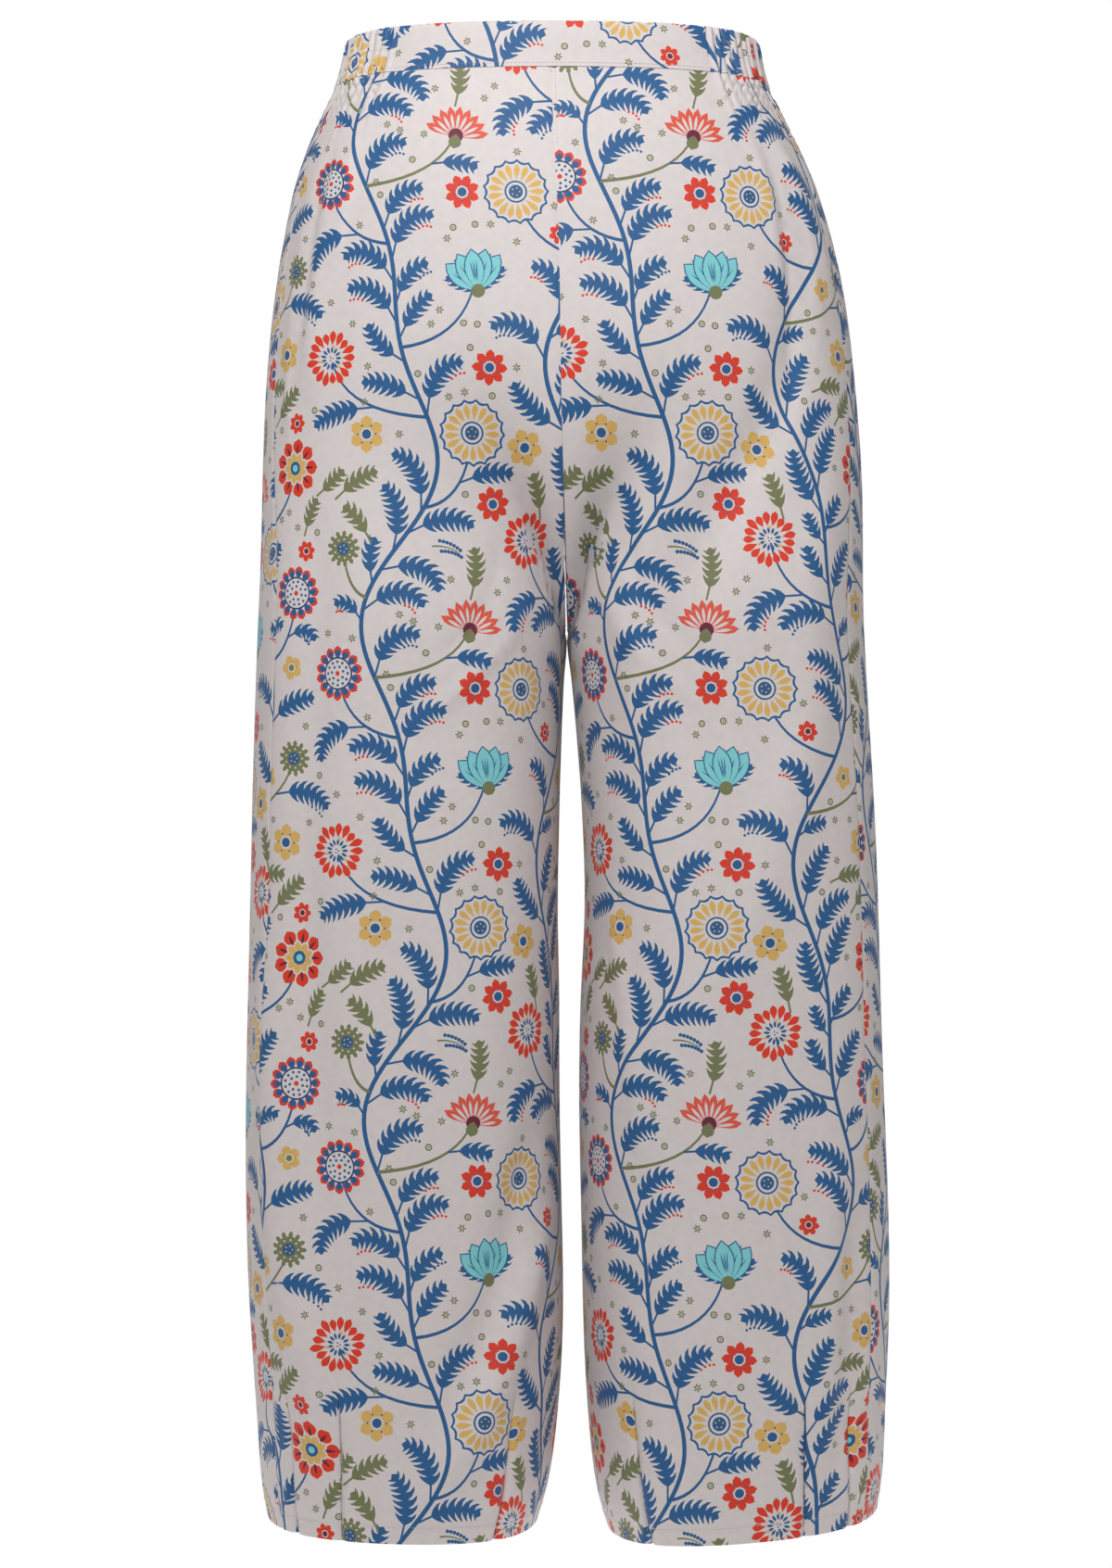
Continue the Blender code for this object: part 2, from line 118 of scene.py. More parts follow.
OUTLINE = [  # down, half width
    (0.000, 0.1385), (0.015, 0.1400), (0.031, 0.1450), (0.052, 0.1560),
    (0.077, 0.1680), (0.102, 0.1770), (0.152, 0.1885), (0.202, 0.1955),
    (0.277, 0.2010), (0.377, 0.2035), (0.514, 0.2095), (0.639, 0.2130),
    (0.764, 0.2160), (0.840, 0.2155), (0.914, 0.2118), (0.964, 0.2090),
    (0.990, 0.2050),
]
TRUNK = [  # down, front depth, back depth, fullness
    (0.000, 0.088, 0.098, 0.035), (0.031, 0.092, 0.104, 0.035),
    (0.077, 0.103, 0.124, 0.030), (0.127, 0.111, 0.140, 0.028),
    (0.200, 0.117, 0.151, 0.026), (0.300, 0.118, 0.148, 0.026),
    (0.400, 0.115, 0.138, 0.026),
]
LEG = [  # down, inner edge, front depth, back depth
    (0.200, 0.0000, 0.114, 0.130), (0.400, 0.0000, 0.108, 0.115),
    (0.427, 0.0025, 0.107, 0.113), (0.464, 0.0050, 0.106, 0.112),
    (0.514, 0.0075, 0.106, 0.111), (0.577, 0.0090, 0.105, 0.109),
    (0.651, 0.0070, 0.105, 0.107), (0.776, 0.0065, 0.105, 0.106),
    (0.864, 0.0070, 0.107, 0.106), (0.926, 0.0110, 0.109, 0.105),
    (0.964, 0.0165, 0.110, 0.104), (0.990, 0.0240, 0.110, 0.102),
]
HANG = [  # down, lean, right leg wider
    (0.000, 0.0000, 0.0000), (0.050, 0.0000, 0.0000), (0.150, 0.0044, 0.0000),
    (0.250, 0.0060, 0.0000), (0.400, 0.0098, 0.0040), (0.550, 0.0128, 0.0050),
    (0.700, 0.0115, 0.0030), (0.850, 0.0140, 0.0025), (0.990, 0.0135, 0.0000),
]


@dataclass(frozen=True)
class Fold:
    """A fold running down through three places; depth > 0 stands out of the cloth."""

    side: Side
    depth: float
    width: float
    downs: tuple[float, ...]
    places: tuple[float, ...]


def folds_of(side: Side, rows: list[tuple[float, ...]]) -> list[Fold]:
    """Folds of one leg.

    Args:
        side: the leg's Side.
        rows: (depth, width, down_a, t_a, down_b, t_b, down_c, t_c) rows.

    Returns:
        A list of Fold.
    """
    return [Fold(side, row[0], row[1], row[2::2], row[3::2]) for row in rows]


FOLDS = folds_of(Side.RIGHT, [
    (-0.0055, 0.019, 0.240, 0.330, 0.560, 0.345, 0.880, 0.312),
    (0.0045, 0.017, 0.560, 0.410, 0.760, 0.385, 0.960, 0.330),
    (0.0050, 0.016, 0.760, 0.070, 0.880, 0.150, 0.985, 0.235),
    (-0.0040, 0.016, 0.700, 0.100, 0.800, 0.145, 0.930, 0.215),
    (0.0030, 0.014, 0.060, 0.275, 0.140, 0.290, 0.260, 0.300),
    (-0.0055, 0.020, 0.300, 0.690, 0.520, 0.680, 0.860, 0.705),
    (0.0045, 0.020, 0.330, 0.860, 0.480, 0.790, 0.760, 0.800),
    (0.0040, 0.016, 0.780, 0.910, 0.880, 0.850, 0.980, 0.790),
    (0.0030, 0.015, 0.060, 0.640, 0.130, 0.660, 0.230, 0.650),
    (-0.0030, 0.016, 0.060, 0.840, 0.150, 0.830, 0.280, 0.850),
]) + folds_of(Side.LEFT, [
    (-0.0060, 0.020, 0.090, 0.320, 0.300, 0.220, 0.600, 0.205),
    (0.0045, 0.022, 0.240, 0.345, 0.450, 0.335, 0.680, 0.215),
    (0.0035, 0.018, 0.240, 0.130, 0.360, 0.150, 0.520, 0.170),
    (-0.0045, 0.016, 0.740, 0.372, 0.860, 0.366, 0.985, 0.352),
    (0.0035, 0.014, 0.700, 0.340, 0.850, 0.335, 0.985, 0.320),
    (0.0030, 0.014, 0.055, 0.300, 0.110, 0.345, 0.190, 0.365),
    (-0.0060, 0.020, 0.320, 0.720, 0.540, 0.700, 0.820, 0.675),
    (0.0045, 0.019, 0.340, 0.850, 0.520, 0.800, 0.700, 0.830),
    (0.0040, 0.016, 0.760, 0.640, 0.860, 0.655, 0.980, 0.665),
    (0.0030, 0.015, 0.060, 0.600, 0.120, 0.590, 0.210, 0.610),
    (-0.0030, 0.016, 0.060, 0.790, 0.140, 0.800, 0.260, 0.780),
])

# Smaller creases that only the shells have, uneven and on every side.
CREASES = folds_of(Side.RIGHT, [
    (0.0014, 0.0060, 0.060, 0.262, 0.100, 0.258, 0.175, 0.262),
    (-0.0016, 0.0060, 0.062, 0.300, 0.130, 0.312, 0.235, 0.318),
    (0.0012, 0.0070, 0.070, 0.340, 0.160, 0.350, 0.300, 0.352),
    (-0.0013, 0.0080, 0.330, 0.120, 0.380, 0.170, 0.430, 0.235),
    (0.0013, 0.0090, 0.360, 0.100, 0.410, 0.160, 0.470, 0.250),
    (-0.0012, 0.0090, 0.560, 0.250, 0.640, 0.262, 0.760, 0.250),
    (0.0016, 0.0080, 0.830, 0.330, 0.890, 0.338, 0.960, 0.340),
    (-0.0015, 0.0070, 0.850, 0.210, 0.900, 0.200, 0.950, 0.198),
    (0.0012, 0.0060, 0.068, 0.560, 0.120, 0.552, 0.190, 0.560),
    (-0.0014, 0.0070, 0.066, 0.700, 0.130, 0.705, 0.240, 0.698),
    (0.0013, 0.0080, 0.064, 0.900, 0.120, 0.890, 0.200, 0.880),
    (-0.0016, 0.0100, 0.380, 0.930, 0.430, 0.860, 0.500, 0.780),
    (0.0014, 0.0090, 0.410, 0.925, 0.470, 0.850, 0.560, 0.760),
    (-0.0013, 0.0090, 0.620, 0.560, 0.740, 0.570, 0.900, 0.560),
])
CREASES += folds_of(Side.LEFT, [
    (0.0014, 0.0060, 0.058, 0.255, 0.105, 0.262, 0.180, 0.258),
    (-0.0016, 0.0060, 0.060, 0.285, 0.150, 0.276, 0.290, 0.262),
    (0.0013, 0.0070, 0.066, 0.318, 0.120, 0.326, 0.220, 0.322),
    (-0.0012, 0.0080, 0.325, 0.110, 0.370, 0.165, 0.420, 0.230),
    (0.0012, 0.0090, 0.355, 0.105, 0.400, 0.155, 0.455, 0.225),
    (0.0014, 0.0090, 0.540, 0.090, 0.640, 0.130, 0.760, 0.160),
    (-0.0014, 0.0080, 0.800, 0.150, 0.870, 0.172, 0.950, 0.185),
    (0.0014, 0.0070, 0.860, 0.290, 0.910, 0.286, 0.965, 0.285),
    (0.0012, 0.0060, 0.066, 0.540, 0.110, 0.548, 0.180, 0.545),
    (-0.0014, 0.0070, 0.064, 0.670, 0.140, 0.664, 0.230, 0.670),
    (0.0013, 0.0080, 0.066, 0.880, 0.120, 0.870, 0.210, 0.862),
    (-0.0016, 0.0100, 0.375, 0.935, 0.430, 0.870, 0.490, 0.800),
    (0.0014, 0.0090, 0.405, 0.930, 0.460, 0.860, 0.540, 0.780),
    (0.0013, 0.0090, 0.600, 0.600, 0.720, 0.590, 0.880, 0.600),
])


# ---------------------------------------------------------------- arithmetic
def smoothstep(values: float | Array) -> float | Array:
    """A soft step from 0 to 1.

    Args:
        values: a number or array, 0 to 1 across the step.

    Returns:
        The step's height at each.
    """
    values = np.clip(values, 0.0, 1.0)
    return values * values * (3 - 2 * values)


class Rows:
    """A table read on a smooth curve through its rows."""

    def __init__(self, rows: list[tuple[float, ...]]) -> None:
        """Reads the table.

        Args:
            rows: its rows, with the depth in the first column.
        """
        data = np.array(rows, dtype=float)
        self.keys, self.values = data[:, 0], data[:, 1:]
        index = np.arange(len(data))
        before, after = np.maximum(index - 1, 0), np.minimum(index + 1, len(data) - 1)
        rise = self.values[after] - self.values[before]
        self.slopes = rise / (self.keys[after] - self.keys[before])[:, None]

    def at(self, down: Array) -> Array:
        """The table's values at some depths.

        Args:
            down: an array of depths.

        Returns:
            An array for each column after the first.
        """
        down = np.clip(down, self.keys[0], self.keys[-1])
        lower = np.searchsorted(self.keys, down, side="right") - 1
        lower = np.clip(lower, 0, len(self.keys) - 2)
        span = (self.keys[lower + 1] - self.keys[lower])[..., None]
        share = (down - self.keys[lower])[..., None] / span
        start, end = self.values[lower], self.values[lower + 1]
        leave = share * (1 - share) ** 2 * span * self.slopes[lower]
        arrive = share * share * (share - 1) * span * self.slopes[lower + 1]
        found = start + (end - start) * smoothstep(share) + leave + arrive
        return np.moveaxis(found, -1, 0)


OUTLINE_ROWS, TRUNK_ROWS, LEG_ROWS, HANG_ROWS = map(Rows, (OUTLINE, TRUNK, LEG, HANG))


def full_sine(angle: Array, fullness: float | Array) -> Array:
    """The sine, made squarer, so that a section is fuller than an ellipse."""
    return (np.sin(angle) + fullness * np.sin(3 * angle)) / (1 - fullness)


def full_cosine(angle: Array, fullness: float | Array) -> Array:
    """The cosine, made squarer in the same way."""
    return (np.cos(angle) - fullness * np.cos(3 * angle)) / (1 - fullness)


def unit(vectors: Array) -> Array:
    """Vectors of length 1 along the given ones."""
    return vectors / np.maximum(np.linalg.norm(vectors, axis=-1, keepdims=True), 1e-12)


# ---------------------------------------------------------------- the leg's surface
class LegSurface:
    """The cloth's surface of one leg and its half of the trunk."""

    STEP = 0.0015
    SEAM_DEPTH = 0.0007
    SEAM_WIDTH = 0.0016
    HALVINGS = 30
    LEVELS = 120
    RING_STEPS = 60

    def __init__(self, side: Side) -> None:
        """Measures the leg of one side and places its elastic and its tucks.

        Args:
            side: the leg's Side.
        """
        self.side = side
        self.sign = side.value
        low, high = 0.0, SIZES.side_seam_t
        for _ in range(self.HALVINGS):
            middle = (low + high) / 2
            reach = self.sign * self.plain(np.array([middle]), np.zeros(1))[0, 0]
            low, high = (middle, high) if reach < SIZES.elastic_start_x else (low, middle)
        self.elastic_t = low
        steps = np.linspace(0, 1, 25)
        ring = self.plain(steps, np.full(25, SIZES.hem))
        self.hem_girth = float(np.linalg.norm(np.diff(ring, axis=0), axis=1).sum())
        fronts = [0.25 + place / self.hem_girth for place in TUCK_FROM_CENTRE]
        self.tucks = sorted(fronts + [1 - place for place in fronts])
        self.levels = np.linspace(0, SIZES.hem + 0.002, self.LEVELS)
        ts = np.linspace(0, 1, self.RING_STEPS + 1)
        grid = self.plain(np.tile(ts, self.LEVELS), np.repeat(self.levels, len(ts)))
        grid = grid.reshape(self.LEVELS, len(ts), 3)
        self.girths = np.linalg.norm(np.diff(grid, axis=1), axis=2).sum(axis=1)

    def girth(self, down: Array) -> Array:
        """The section's length at some depths."""
        return np.interp(down, self.levels, self.girths)

    def plain(self, t: Array, down: Array) -> Array:
        """Points of the unfolded surface.

        Args:
            t: places round the section.
            down: their depths.

        Returns:
            Their points, in rows of x, y, z.
        """
        half_width, = OUTLINE_ROWS.at(down)
        front, back, fullness = TRUNK_ROWS.at(down)
        angle = math.pi * t
        forward = full_cosine(angle, fullness)
        trunk_x = half_width * full_sine(angle, fullness)
        trunk_y = -np.where(forward > 0, front, back) * forward

        inner, front, back = LEG_ROWS.at(down)
        lean, wider = HANG_ROWS.at(down)
        outer = half_width - self.sign * wider
        angle = 2 * math.pi * t
        forward = full_sine(angle, SIZES.leg_fullness)
        leg_x = (outer + inner) / 2 - (outer - inner) / 2 * full_cosine(
            angle, SIZES.leg_fullness)
        leg_y = SIZES.crotch_y - np.where(forward > 0, front, back) * forward

        reach = np.clip((down - SIZES.fork_start) / (SIZES.rise - SIZES.fork_start), 0, 1)
        away = smoothstep(np.minimum(t, 1 - t) / SIZES.crotch_reach_t)
        roundness = SIZES.seam_roundness + away * (
            SIZES.panel_roundness - SIZES.seam_roundness)
        share = 1 - (1 - reach * reach) ** roundness

        across = trunk_x + (leg_x - trunk_x) * share
        depth = trunk_y + (leg_y - trunk_y) * share
        settle = smoothstep((down - SIZES.hem_tilt_start)
                            / (SIZES.hem - SIZES.hem_tilt_start))
        drop = HEM_TILT[self.side] * settle * (half_width / 2 - across)
        level = SIZES.band_height / 2 - down - drop
        return np.stack([self.sign * across + lean, depth, level], axis=-1)

    def normals(self, t: Array, down: Array) -> Array:
        """Outward normals of the unfolded surface.

        Args:
            t: places round the section.
            down: their depths.

        Returns:
            The normals, in rows of x, y, z.
        """
        step = self.STEP
        inside = np.clip(t, step, 1 - step)
        along = self.plain(inside + step, down) - self.plain(inside - step, down)
        fall = self.plain(t, down + step) - self.plain(t, down - step)
        return unit(np.cross(fall, along) * self.sign)

    def fold_height(self, t: Array, down: Array, length: Array, folds: list[Fold]) -> Array:
        """How far folds move the cloth out (+) or in (-).

        Args:
            t: places round the section.
            down: their depths.
            length: the section's length at each.
            folds: the folds to add up.

        Returns:
            Their heights.
        """
        height = np.zeros_like(t)
        for fold in folds:
            if fold.side is not self.side:
                continue
            place = np.interp(down, fold.downs, fold.places)
            run = (down - fold.downs[0]) / (fold.downs[2] - fold.downs[0])
            fade = smoothstep(run / SIZES.fold_fade) * smoothstep(
                (1 - run) / SIZES.fold_fade)
            off = (t - place) * length / fold.width
            height += fold.depth * fade * np.exp(-off * off)
        return height * smoothstep(np.minimum(t, 1 - t) / SIZES.seam_clearance_t)

    def tuck_height(self, t: Array, down: Array, length: Array) -> Array:
        """How deep the stitched tucks draw the cloth in above the hem.

        Args:
            t: places round the section.
            down: their depths.
            length: the section's length at each.

        Returns:
            Their heights, 0 or less.
        """
        top = SIZES.hem - SIZES.tuck_height
        strength = smoothstep((down - top + SIZES.tuck_fade) / SIZES.tuck_fade)
        nearest = np.min([np.abs(t - place) for place in self.tucks], axis=0) * length
        near = np.maximum(0.0, 1 - nearest / SIZES.tuck_half_width)
        return -SIZES.tuck_depth * strength * near ** 1.5

    def gather_height(self, t: Array, down: Array) -> Array:
        """The gathers of the elastic: uneven, round crests and narrow grooves.

        Args:
            t: places round the section.
            down: their depths.

        Returns:
            Their heights.
        """
        start = self.elastic_t
        phase = SIZES.gathers_a_side * (t - start) / (1 - start)
        number = np.floor(phase)
        wobble = 0.10 * np.sin(5.1 * number + 2.0 * self.sign)
        share = phase - number
        crest = 1 - np.abs(2 * share - 1 + wobble * (1 - np.abs(2 * share - 1)))
        wave = 2 * np.sin(math.pi / 2 * np.clip(crest * 1.05, 0, 1)) ** 0.85 - 1
        uneven = 0.72 + 0.28 * np.sin(2.4 * number + 0.7 * self.sign)
        run = 0.75 + 0.25 * np.sin(1.7 * number + 1.3)
        fade = 1 - smoothstep((down - SIZES.band_height)
                              / ((SIZES.gather_end - SIZES.band_height) * run))
        on = np.where(phase > 0, np.minimum(1.0, 2 * np.maximum(phase, 0)), 0.0)
        return SIZES.gather_half_depth * wave * uneven * fade * on

    def seam_dip(self, t: Array, length: Array, first: float, last: float) -> Array:
        """The rounding of the cloth into its seams at both edges of a panel.

        Args:
            t: places round the section.
            length: the section's length at each.
            first: the panel's first place.
            last: its last place.

        Returns:
            Their heights, 0 or less.
        """
        near = np.minimum(np.abs(t - first), np.abs(last - t)) * length
        return -self.SEAM_DEPTH * np.exp(-(near / self.SEAM_WIDTH) ** 2)

    def points(self, t: Array, down: Array, first: float,
               last: float) -> tuple[Array, Array]:
        """Points of the folded cloth of one panel, on its outer face.

        Args:
            t: places round the section.
            down: their depths.
            first: the panel's first place.
            last: its last place.

        Returns:
            (points, normals of the unfolded surface).
        """
        length = self.girth(down)
        height = self.fold_height(t, down, length, FOLDS + CREASES)
        height += self.tuck_height(t, down, length)
        height += self.gather_height(t, down)
        height += self.seam_dip(t, length, first, last)
        normal = self.normals(t, down)
        return self.plain(t, down) + normal * height[:, None], normal


# ---------------------------------------------------------------- the print
class Ink(Enum):
    """The printed cloth's colours, as the eye sees them (sRGB, 0 to 255)."""

    GROUND = (222, 213, 211)
    BLUE = (43, 96, 148)
    NAVY = (36, 64, 114)
    ORANGE = (226, 62, 38)
    CORAL = (226, 92, 74)
    MUSTARD = (222, 180, 102)
    TURQUOISE = (132, 210, 214)
    OLIVE = (122, 126, 88)
    MAROON = (112, 36, 58)

    def linear(self) -> tuple[float, ...]:
        """The colour in linear light, with alpha."""
        shares = [channel / 255 for channel in self.value]
        return (*[((x + 0.055) / 1.055) ** 2.4 for x in shares], 1.0)


MM = 0.001


def turned(points: Array, angle: float) -> Array:
    """Points turned about the origin by an angle in radians."""
    cos, sin = math.cos(angle), math.sin(angle)
    return np.column_stack([points[:, 0] * cos - points[:, 1] * sin,
                            points[:, 0] * sin + points[:, 1] * cos])


def disc(radius: float, corners: int = 14, ripple: float = 0.0, lobes: int = 0) -> Array:
    """The outline of a disc, or of a scalloped one.

    Args:
        radius: its mean radius.
        corners: how many points it has.
        ripple: how far its edge swings, as a share of the radius.
        lobes: how many scallops it has.

    Returns:
        The outline's points.
    """
    angle = 2 * math.pi * np.arange(corners) / corners
    reach = radius * (1 + ripple * np.cos(lobes * angle))
    return np.column_stack([reach * np.cos(angle), reach * np.sin(angle)])


def petal(length: float, width: float, start: float = 0.0, belly: float = 1.0,
          corners: int = 4) -> Array:
    """A petal's outline along +x.

    Args:
        length: its length.
        width: its widest width.
        start: how far from the origin it starts.
        belly: over 1 where it is widest further out.
        corners: how many points each side has.

    Returns:
        The outline's points.
    """
    share = np.linspace(0, 1, corners + 2)[1:-1]
    half = width / 2 * np.sin(math.pi * share ** belly) ** 0.75
    x = start + length * share
    upper = np.column_stack([x, half])
    lower = np.column_stack([x, -half])[::-1]
    return np.vstack([[start, 0.0], lower[::-1], [start + length, 0.0], upper[::-1]])


def stroke(path: Array, start_width: float, end_width: float) -> Array:
    """A brush stroke's outline along a path.

    Args:
        path: its middle line.
        start_width: its width at the start.
        end_width: its width at the end.

    Returns:
        The outline's points.
    """
    path = np.asarray(path, dtype=float)
    along = unit(np.gradient(path, axis=0))
    normal = np.column_stack([-along[:, 1], along[:, 0]])
    half = np.linspace(start_width, end_width, len(path))[:, None] / 2
    return np.vstack([path - normal * half, (path + normal * half)[::-1]])


def arc(length: float, bend: float, steps: int = 8) -> Array:
    """A path from the origin along +x that bends evenly.

    Args:
        length: its length.
        bend: how far it turns in all, in radians.
        steps: how many steps it has.

    Returns:
        The path's points.
    """
    share = (np.arange(steps) + 0.5) / steps * bend
    step = length / steps
    x = np.concatenate([[0], np.cumsum(step * np.cos(share))])
    y = np.concatenate([[0], np.cumsum(step * np.sin(share))])
    return np.column_stack([x, y])


def curl(length: float, bend: float, steps: int = 8) -> Array:
    """A path from the origin along +x that bends more and more towards its tip.

    Args:
        length: its length.
        bend: how far its tip is turned, in radians.
        steps: how many steps it has.

    Returns:
        The path's points.
    """
    heading = (np.arange(steps) + 0.5) / steps
    heading = bend * heading * heading
    x = np.concatenate([[0], np.cumsum(length / steps * np.cos(heading))])
    y = np.concatenate([[0], np.cumsum(length / steps * np.sin(heading))])
    return np.column_stack([x, y])


class Rib:
    """A leaf's curled middle rib, to set points beside."""

    def __init__(self, length: float, bend: float) -> None:
        """Draws the rib.

        Args:
            length: its length.
            bend: how far its tip is turned, in radians.
        """
        self.path = curl(length, bend, 24)
        self.shares = np.linspace(0, 1, 25)
        self.along = unit(np.gradient(self.path, axis=0))

    def at(self, share: float, height: float) -> Pair:
        """A point beside the rib.

        Args:
            share: how far along the rib it is, 0 to 1.
            height: how far to the rib's left.

        Returns:
            The point.
        """
        beyond = max(share - 1.0, 0.0) * 0.02
        x, y = (np.interp(share, self.shares, self.path[:, k]) for k in (0, 1))
        dx, dy = (np.interp(share, self.shares, self.along[:, k]) for k in (0, 1))
        return x - dy * height + dx * beyond, y + dx * height + dy * beyond


def feather(length: float, width: float, lobes: int, bend: float,
            stalk: float = 0.06) -> Array:
    """The outline of a feathered leaf: lobes swept forward on a curled rib.

    Args:
        length: its length along the rib, stalk and all.
        width: its widest width.
        lobes: how many lobes each side has.
        bend: how far the rib turns, in radians.
        stalk: the stalk's share of the length.

    Returns:
        The outline's points.
    """
    rib = Rib(length, bend)
    blade = 0.97 - stalk
    starts = [stalk + blade * (1 - (1 - k / lobes) ** 1.15) for k in range(lobes + 1)]
    sides = []
    for sign in (1, -1):
        points = [rib.at(0.0, sign * 0.7 * MM), rib.at(stalk, sign * 0.7 * MM)]
        for lobe, base in enumerate(starts[:-1]):
            pitch = starts[lobe + 1] - base
            part = lobe / lobes
            reach = sign * width / 2 * math.sin(math.pi * (0.30 + 0.62 * part)) ** 0.8
            points.append(rib.at(base + 0.06 * pitch, reach * 0.22))
            points.append(rib.at(base + 0.44 * pitch, reach * 0.62))
            points.append(rib.at(base + 0.98 * pitch, reach * 0.94))
            points.append(rib.at(base + 1.46 * pitch, reach * 1.06))
            points.append(rib.at(base + 1.06 * pitch, reach * 0.60))
        sides.append(points)
    return np.array(sides[1] + [rib.at(1.06, 0.0)] + sides[0][::-1])


Inked = tuple[Ink, Array]


class Motif:
    """Inked shapes round an origin, the later ones on top."""

    def __init__(self, radius: float) -> None:
        """Starts an empty motif that takes room of a radius."""
        self.radius = radius
        self.shapes = []

    def add(self, ink: Ink, outline: Array, angle: float = 0.0,
            shift: Pair = (0.0, 0.0)) -> "Motif":
        """Adds a shape, turned and then shifted; returns the motif."""
        self.shapes.append((ink, turned(outline, angle) + np.array(shift)))
        return self

    def whorl(self, ink: Ink, outline: Array, count: int, phase: float = 0.0) -> "Motif":
        """Adds a shape at even steps round the origin.

        Args:
            ink: the shape's Ink.
            outline: its points.
            count: how many times it is set.
            phase: the first one's angle, in radians.

        Returns:
            The motif.
        """
        for index in range(count):
            self.add(ink, outline, phase + 2 * math.pi * index / count)
        return self

    def dots(self, ink: Ink, radius: float, count: int, ring: float,
             phase: float = 0.0) -> "Motif":
        """Adds a ring of dots round the origin.

        Args:
            ink: their Ink.
            radius: each dot's radius.
            count: how many dots.
            ring: the ring's radius.
            phase: the first one's angle, in radians.

        Returns:
            The motif.
        """
        for index in range(count):
            angle = phase + 2 * math.pi * index / count
            self.add(ink, disc(radius, 7), 0.0,
                     (ring * math.cos(angle), ring * math.sin(angle)))
        return self

    def placed(self, x: float, y: float, angle: float) -> list["Inked"]:
        """The motif's shapes, turned, where they lie on the cloth."""
        return [(ink, turned(outline, angle) + np.array([x, y]))
                for ink, outline in self.shapes]


def mustard_daisy() -> Motif:
    """A mustard daisy with rounded petals round a blue eye.

    Returns:
        The Motif.
    """
    made = Motif(21 * MM).add(Ink.BLUE, disc(20.5 * MM, 51, 0.055, 17))
    made.add(Ink.GROUND, disc(18.9 * MM, 51, 0.055, 17))
    for index in range(17):
        ray = petal((10.6 + 0.9 * math.sin(3.1 * index)) * MM, 4.1 * MM, 7.8 * MM, 1.6)
        made.add(Ink.MUSTARD, ray, 2 * math.pi * index / 17)
    made.add(Ink.BLUE, disc(7.4 * MM, 22)).add(Ink.GROUND, disc(6.2 * MM, 20))
    return made.add(Ink.BLUE, disc(4.6 * MM, 16)).dots(Ink.MUSTARD, 0.6 * MM, 5, 2.5 * MM)


def orange_aster() -> Motif:
    """A red-orange aster of narrow rays round a dotted eye.

    Returns:
        The Motif.
    """
    made = Motif(19 * MM)
    for index in range(17):
        ray = petal((9.4 + 1.3 * math.sin(2.3 * index)) * MM, 5.0 * MM, 8.6 * MM, 1.5)
        made.add(Ink.ORANGE, ray, 2 * math.pi * index / 17)
    made.whorl(Ink.BLUE, petal(4.6 * MM, 1.9 * MM, 3.4 * MM, 1.0, 3), 13)
    made.whorl(Ink.MUSTARD, petal(3.0 * MM, 1.8 * MM, 6.2 * MM, 1.0, 3), 3, 3.4)
    return made.add(Ink.GROUND, disc(2.6 * MM, 10)).dots(Ink.BLUE, 0.6 * MM, 3, 1.2 * MM)


def blue_ring_flower() -> Motif:
    """A flower with a seeded middle inside two rings of petals.

    Returns:
        The Motif.
    """
    made = Motif(19 * MM)
    made.whorl(Ink.ORANGE, petal(8.5 * MM, 6.4 * MM, 9.5 * MM, 1.3), 14, 0.2)
    made.whorl(Ink.BLUE, petal(5.6 * MM, 4.6 * MM, 10.2 * MM), 14, 0.2)
    made.add(Ink.NAVY, disc(10.8 * MM, 26)).add(Ink.GROUND, disc(9.7 * MM, 24))
    made.dots(Ink.BLUE, 1.0 * MM, 12, 7.6 * MM).dots(Ink.BLUE, 1.0 * MM, 7, 4.5 * MM, 0.3)
    return made.add(Ink.ORANGE, disc(1.7 * MM, 8))


def little_flower(ink: Ink, eye: Ink, petals: int, size: float) -> Motif:
    """A small open flower.

    Args:
        ink: its petals' Ink.
        eye: its middle's Ink.
        petals: how many petals.
        size: its radius.

    Returns:
        The Motif.
    """
    made = Motif(size + 1 * MM)
    made.whorl(ink, petal(size * 0.92, size * 0.80 * 5.2 / petals, size * 0.1, 1.5), petals)
    made.add(Ink.GROUND, disc(size * 0.36, 12)).add(eye, disc(size * 0.27, 10))
    return made.dots(eye, size * 0.06, petals, size * 0.52, math.pi / petals)


def turquoise_tulip() -> Motif:
    """A turquoise tulip opening upwards between blue leaves.

    Returns:
        The Motif.
    """
    made = Motif(25 * MM)
    for angle, size in ((2.75, 22), (0.40, 22), (2.15, 24), (1.0, 24)):
        made.add(Ink.BLUE, feather(size * MM, 8 * MM, 4, 0.5 if angle < 1.5 else -0.5),
                 angle, (0, -9 * MM))
    for angle in (0.85, 2.30, 1.22, 1.93, 1.571):
        made.add(Ink.BLUE, petal(27.5 * MM, 13.2 * MM, 0, 1.1, 6), angle, (0, -9 * MM))
        made.add(Ink.TURQUOISE, petal(26.5 * MM, 11.8 * MM, 0, 1.1, 6), angle, (0, -9 * MM))
        for aside in (-0.11, 0.0, 0.11):
            made.add(Ink.BLUE, petal(14 * MM, 0.9 * MM, 6 * MM, 0.8, 3), angle + aside,
                     (0, -9 * MM))
    return made.add(Ink.OLIVE, disc(4.6 * MM, 12), 0.0, (0, -9.5 * MM))


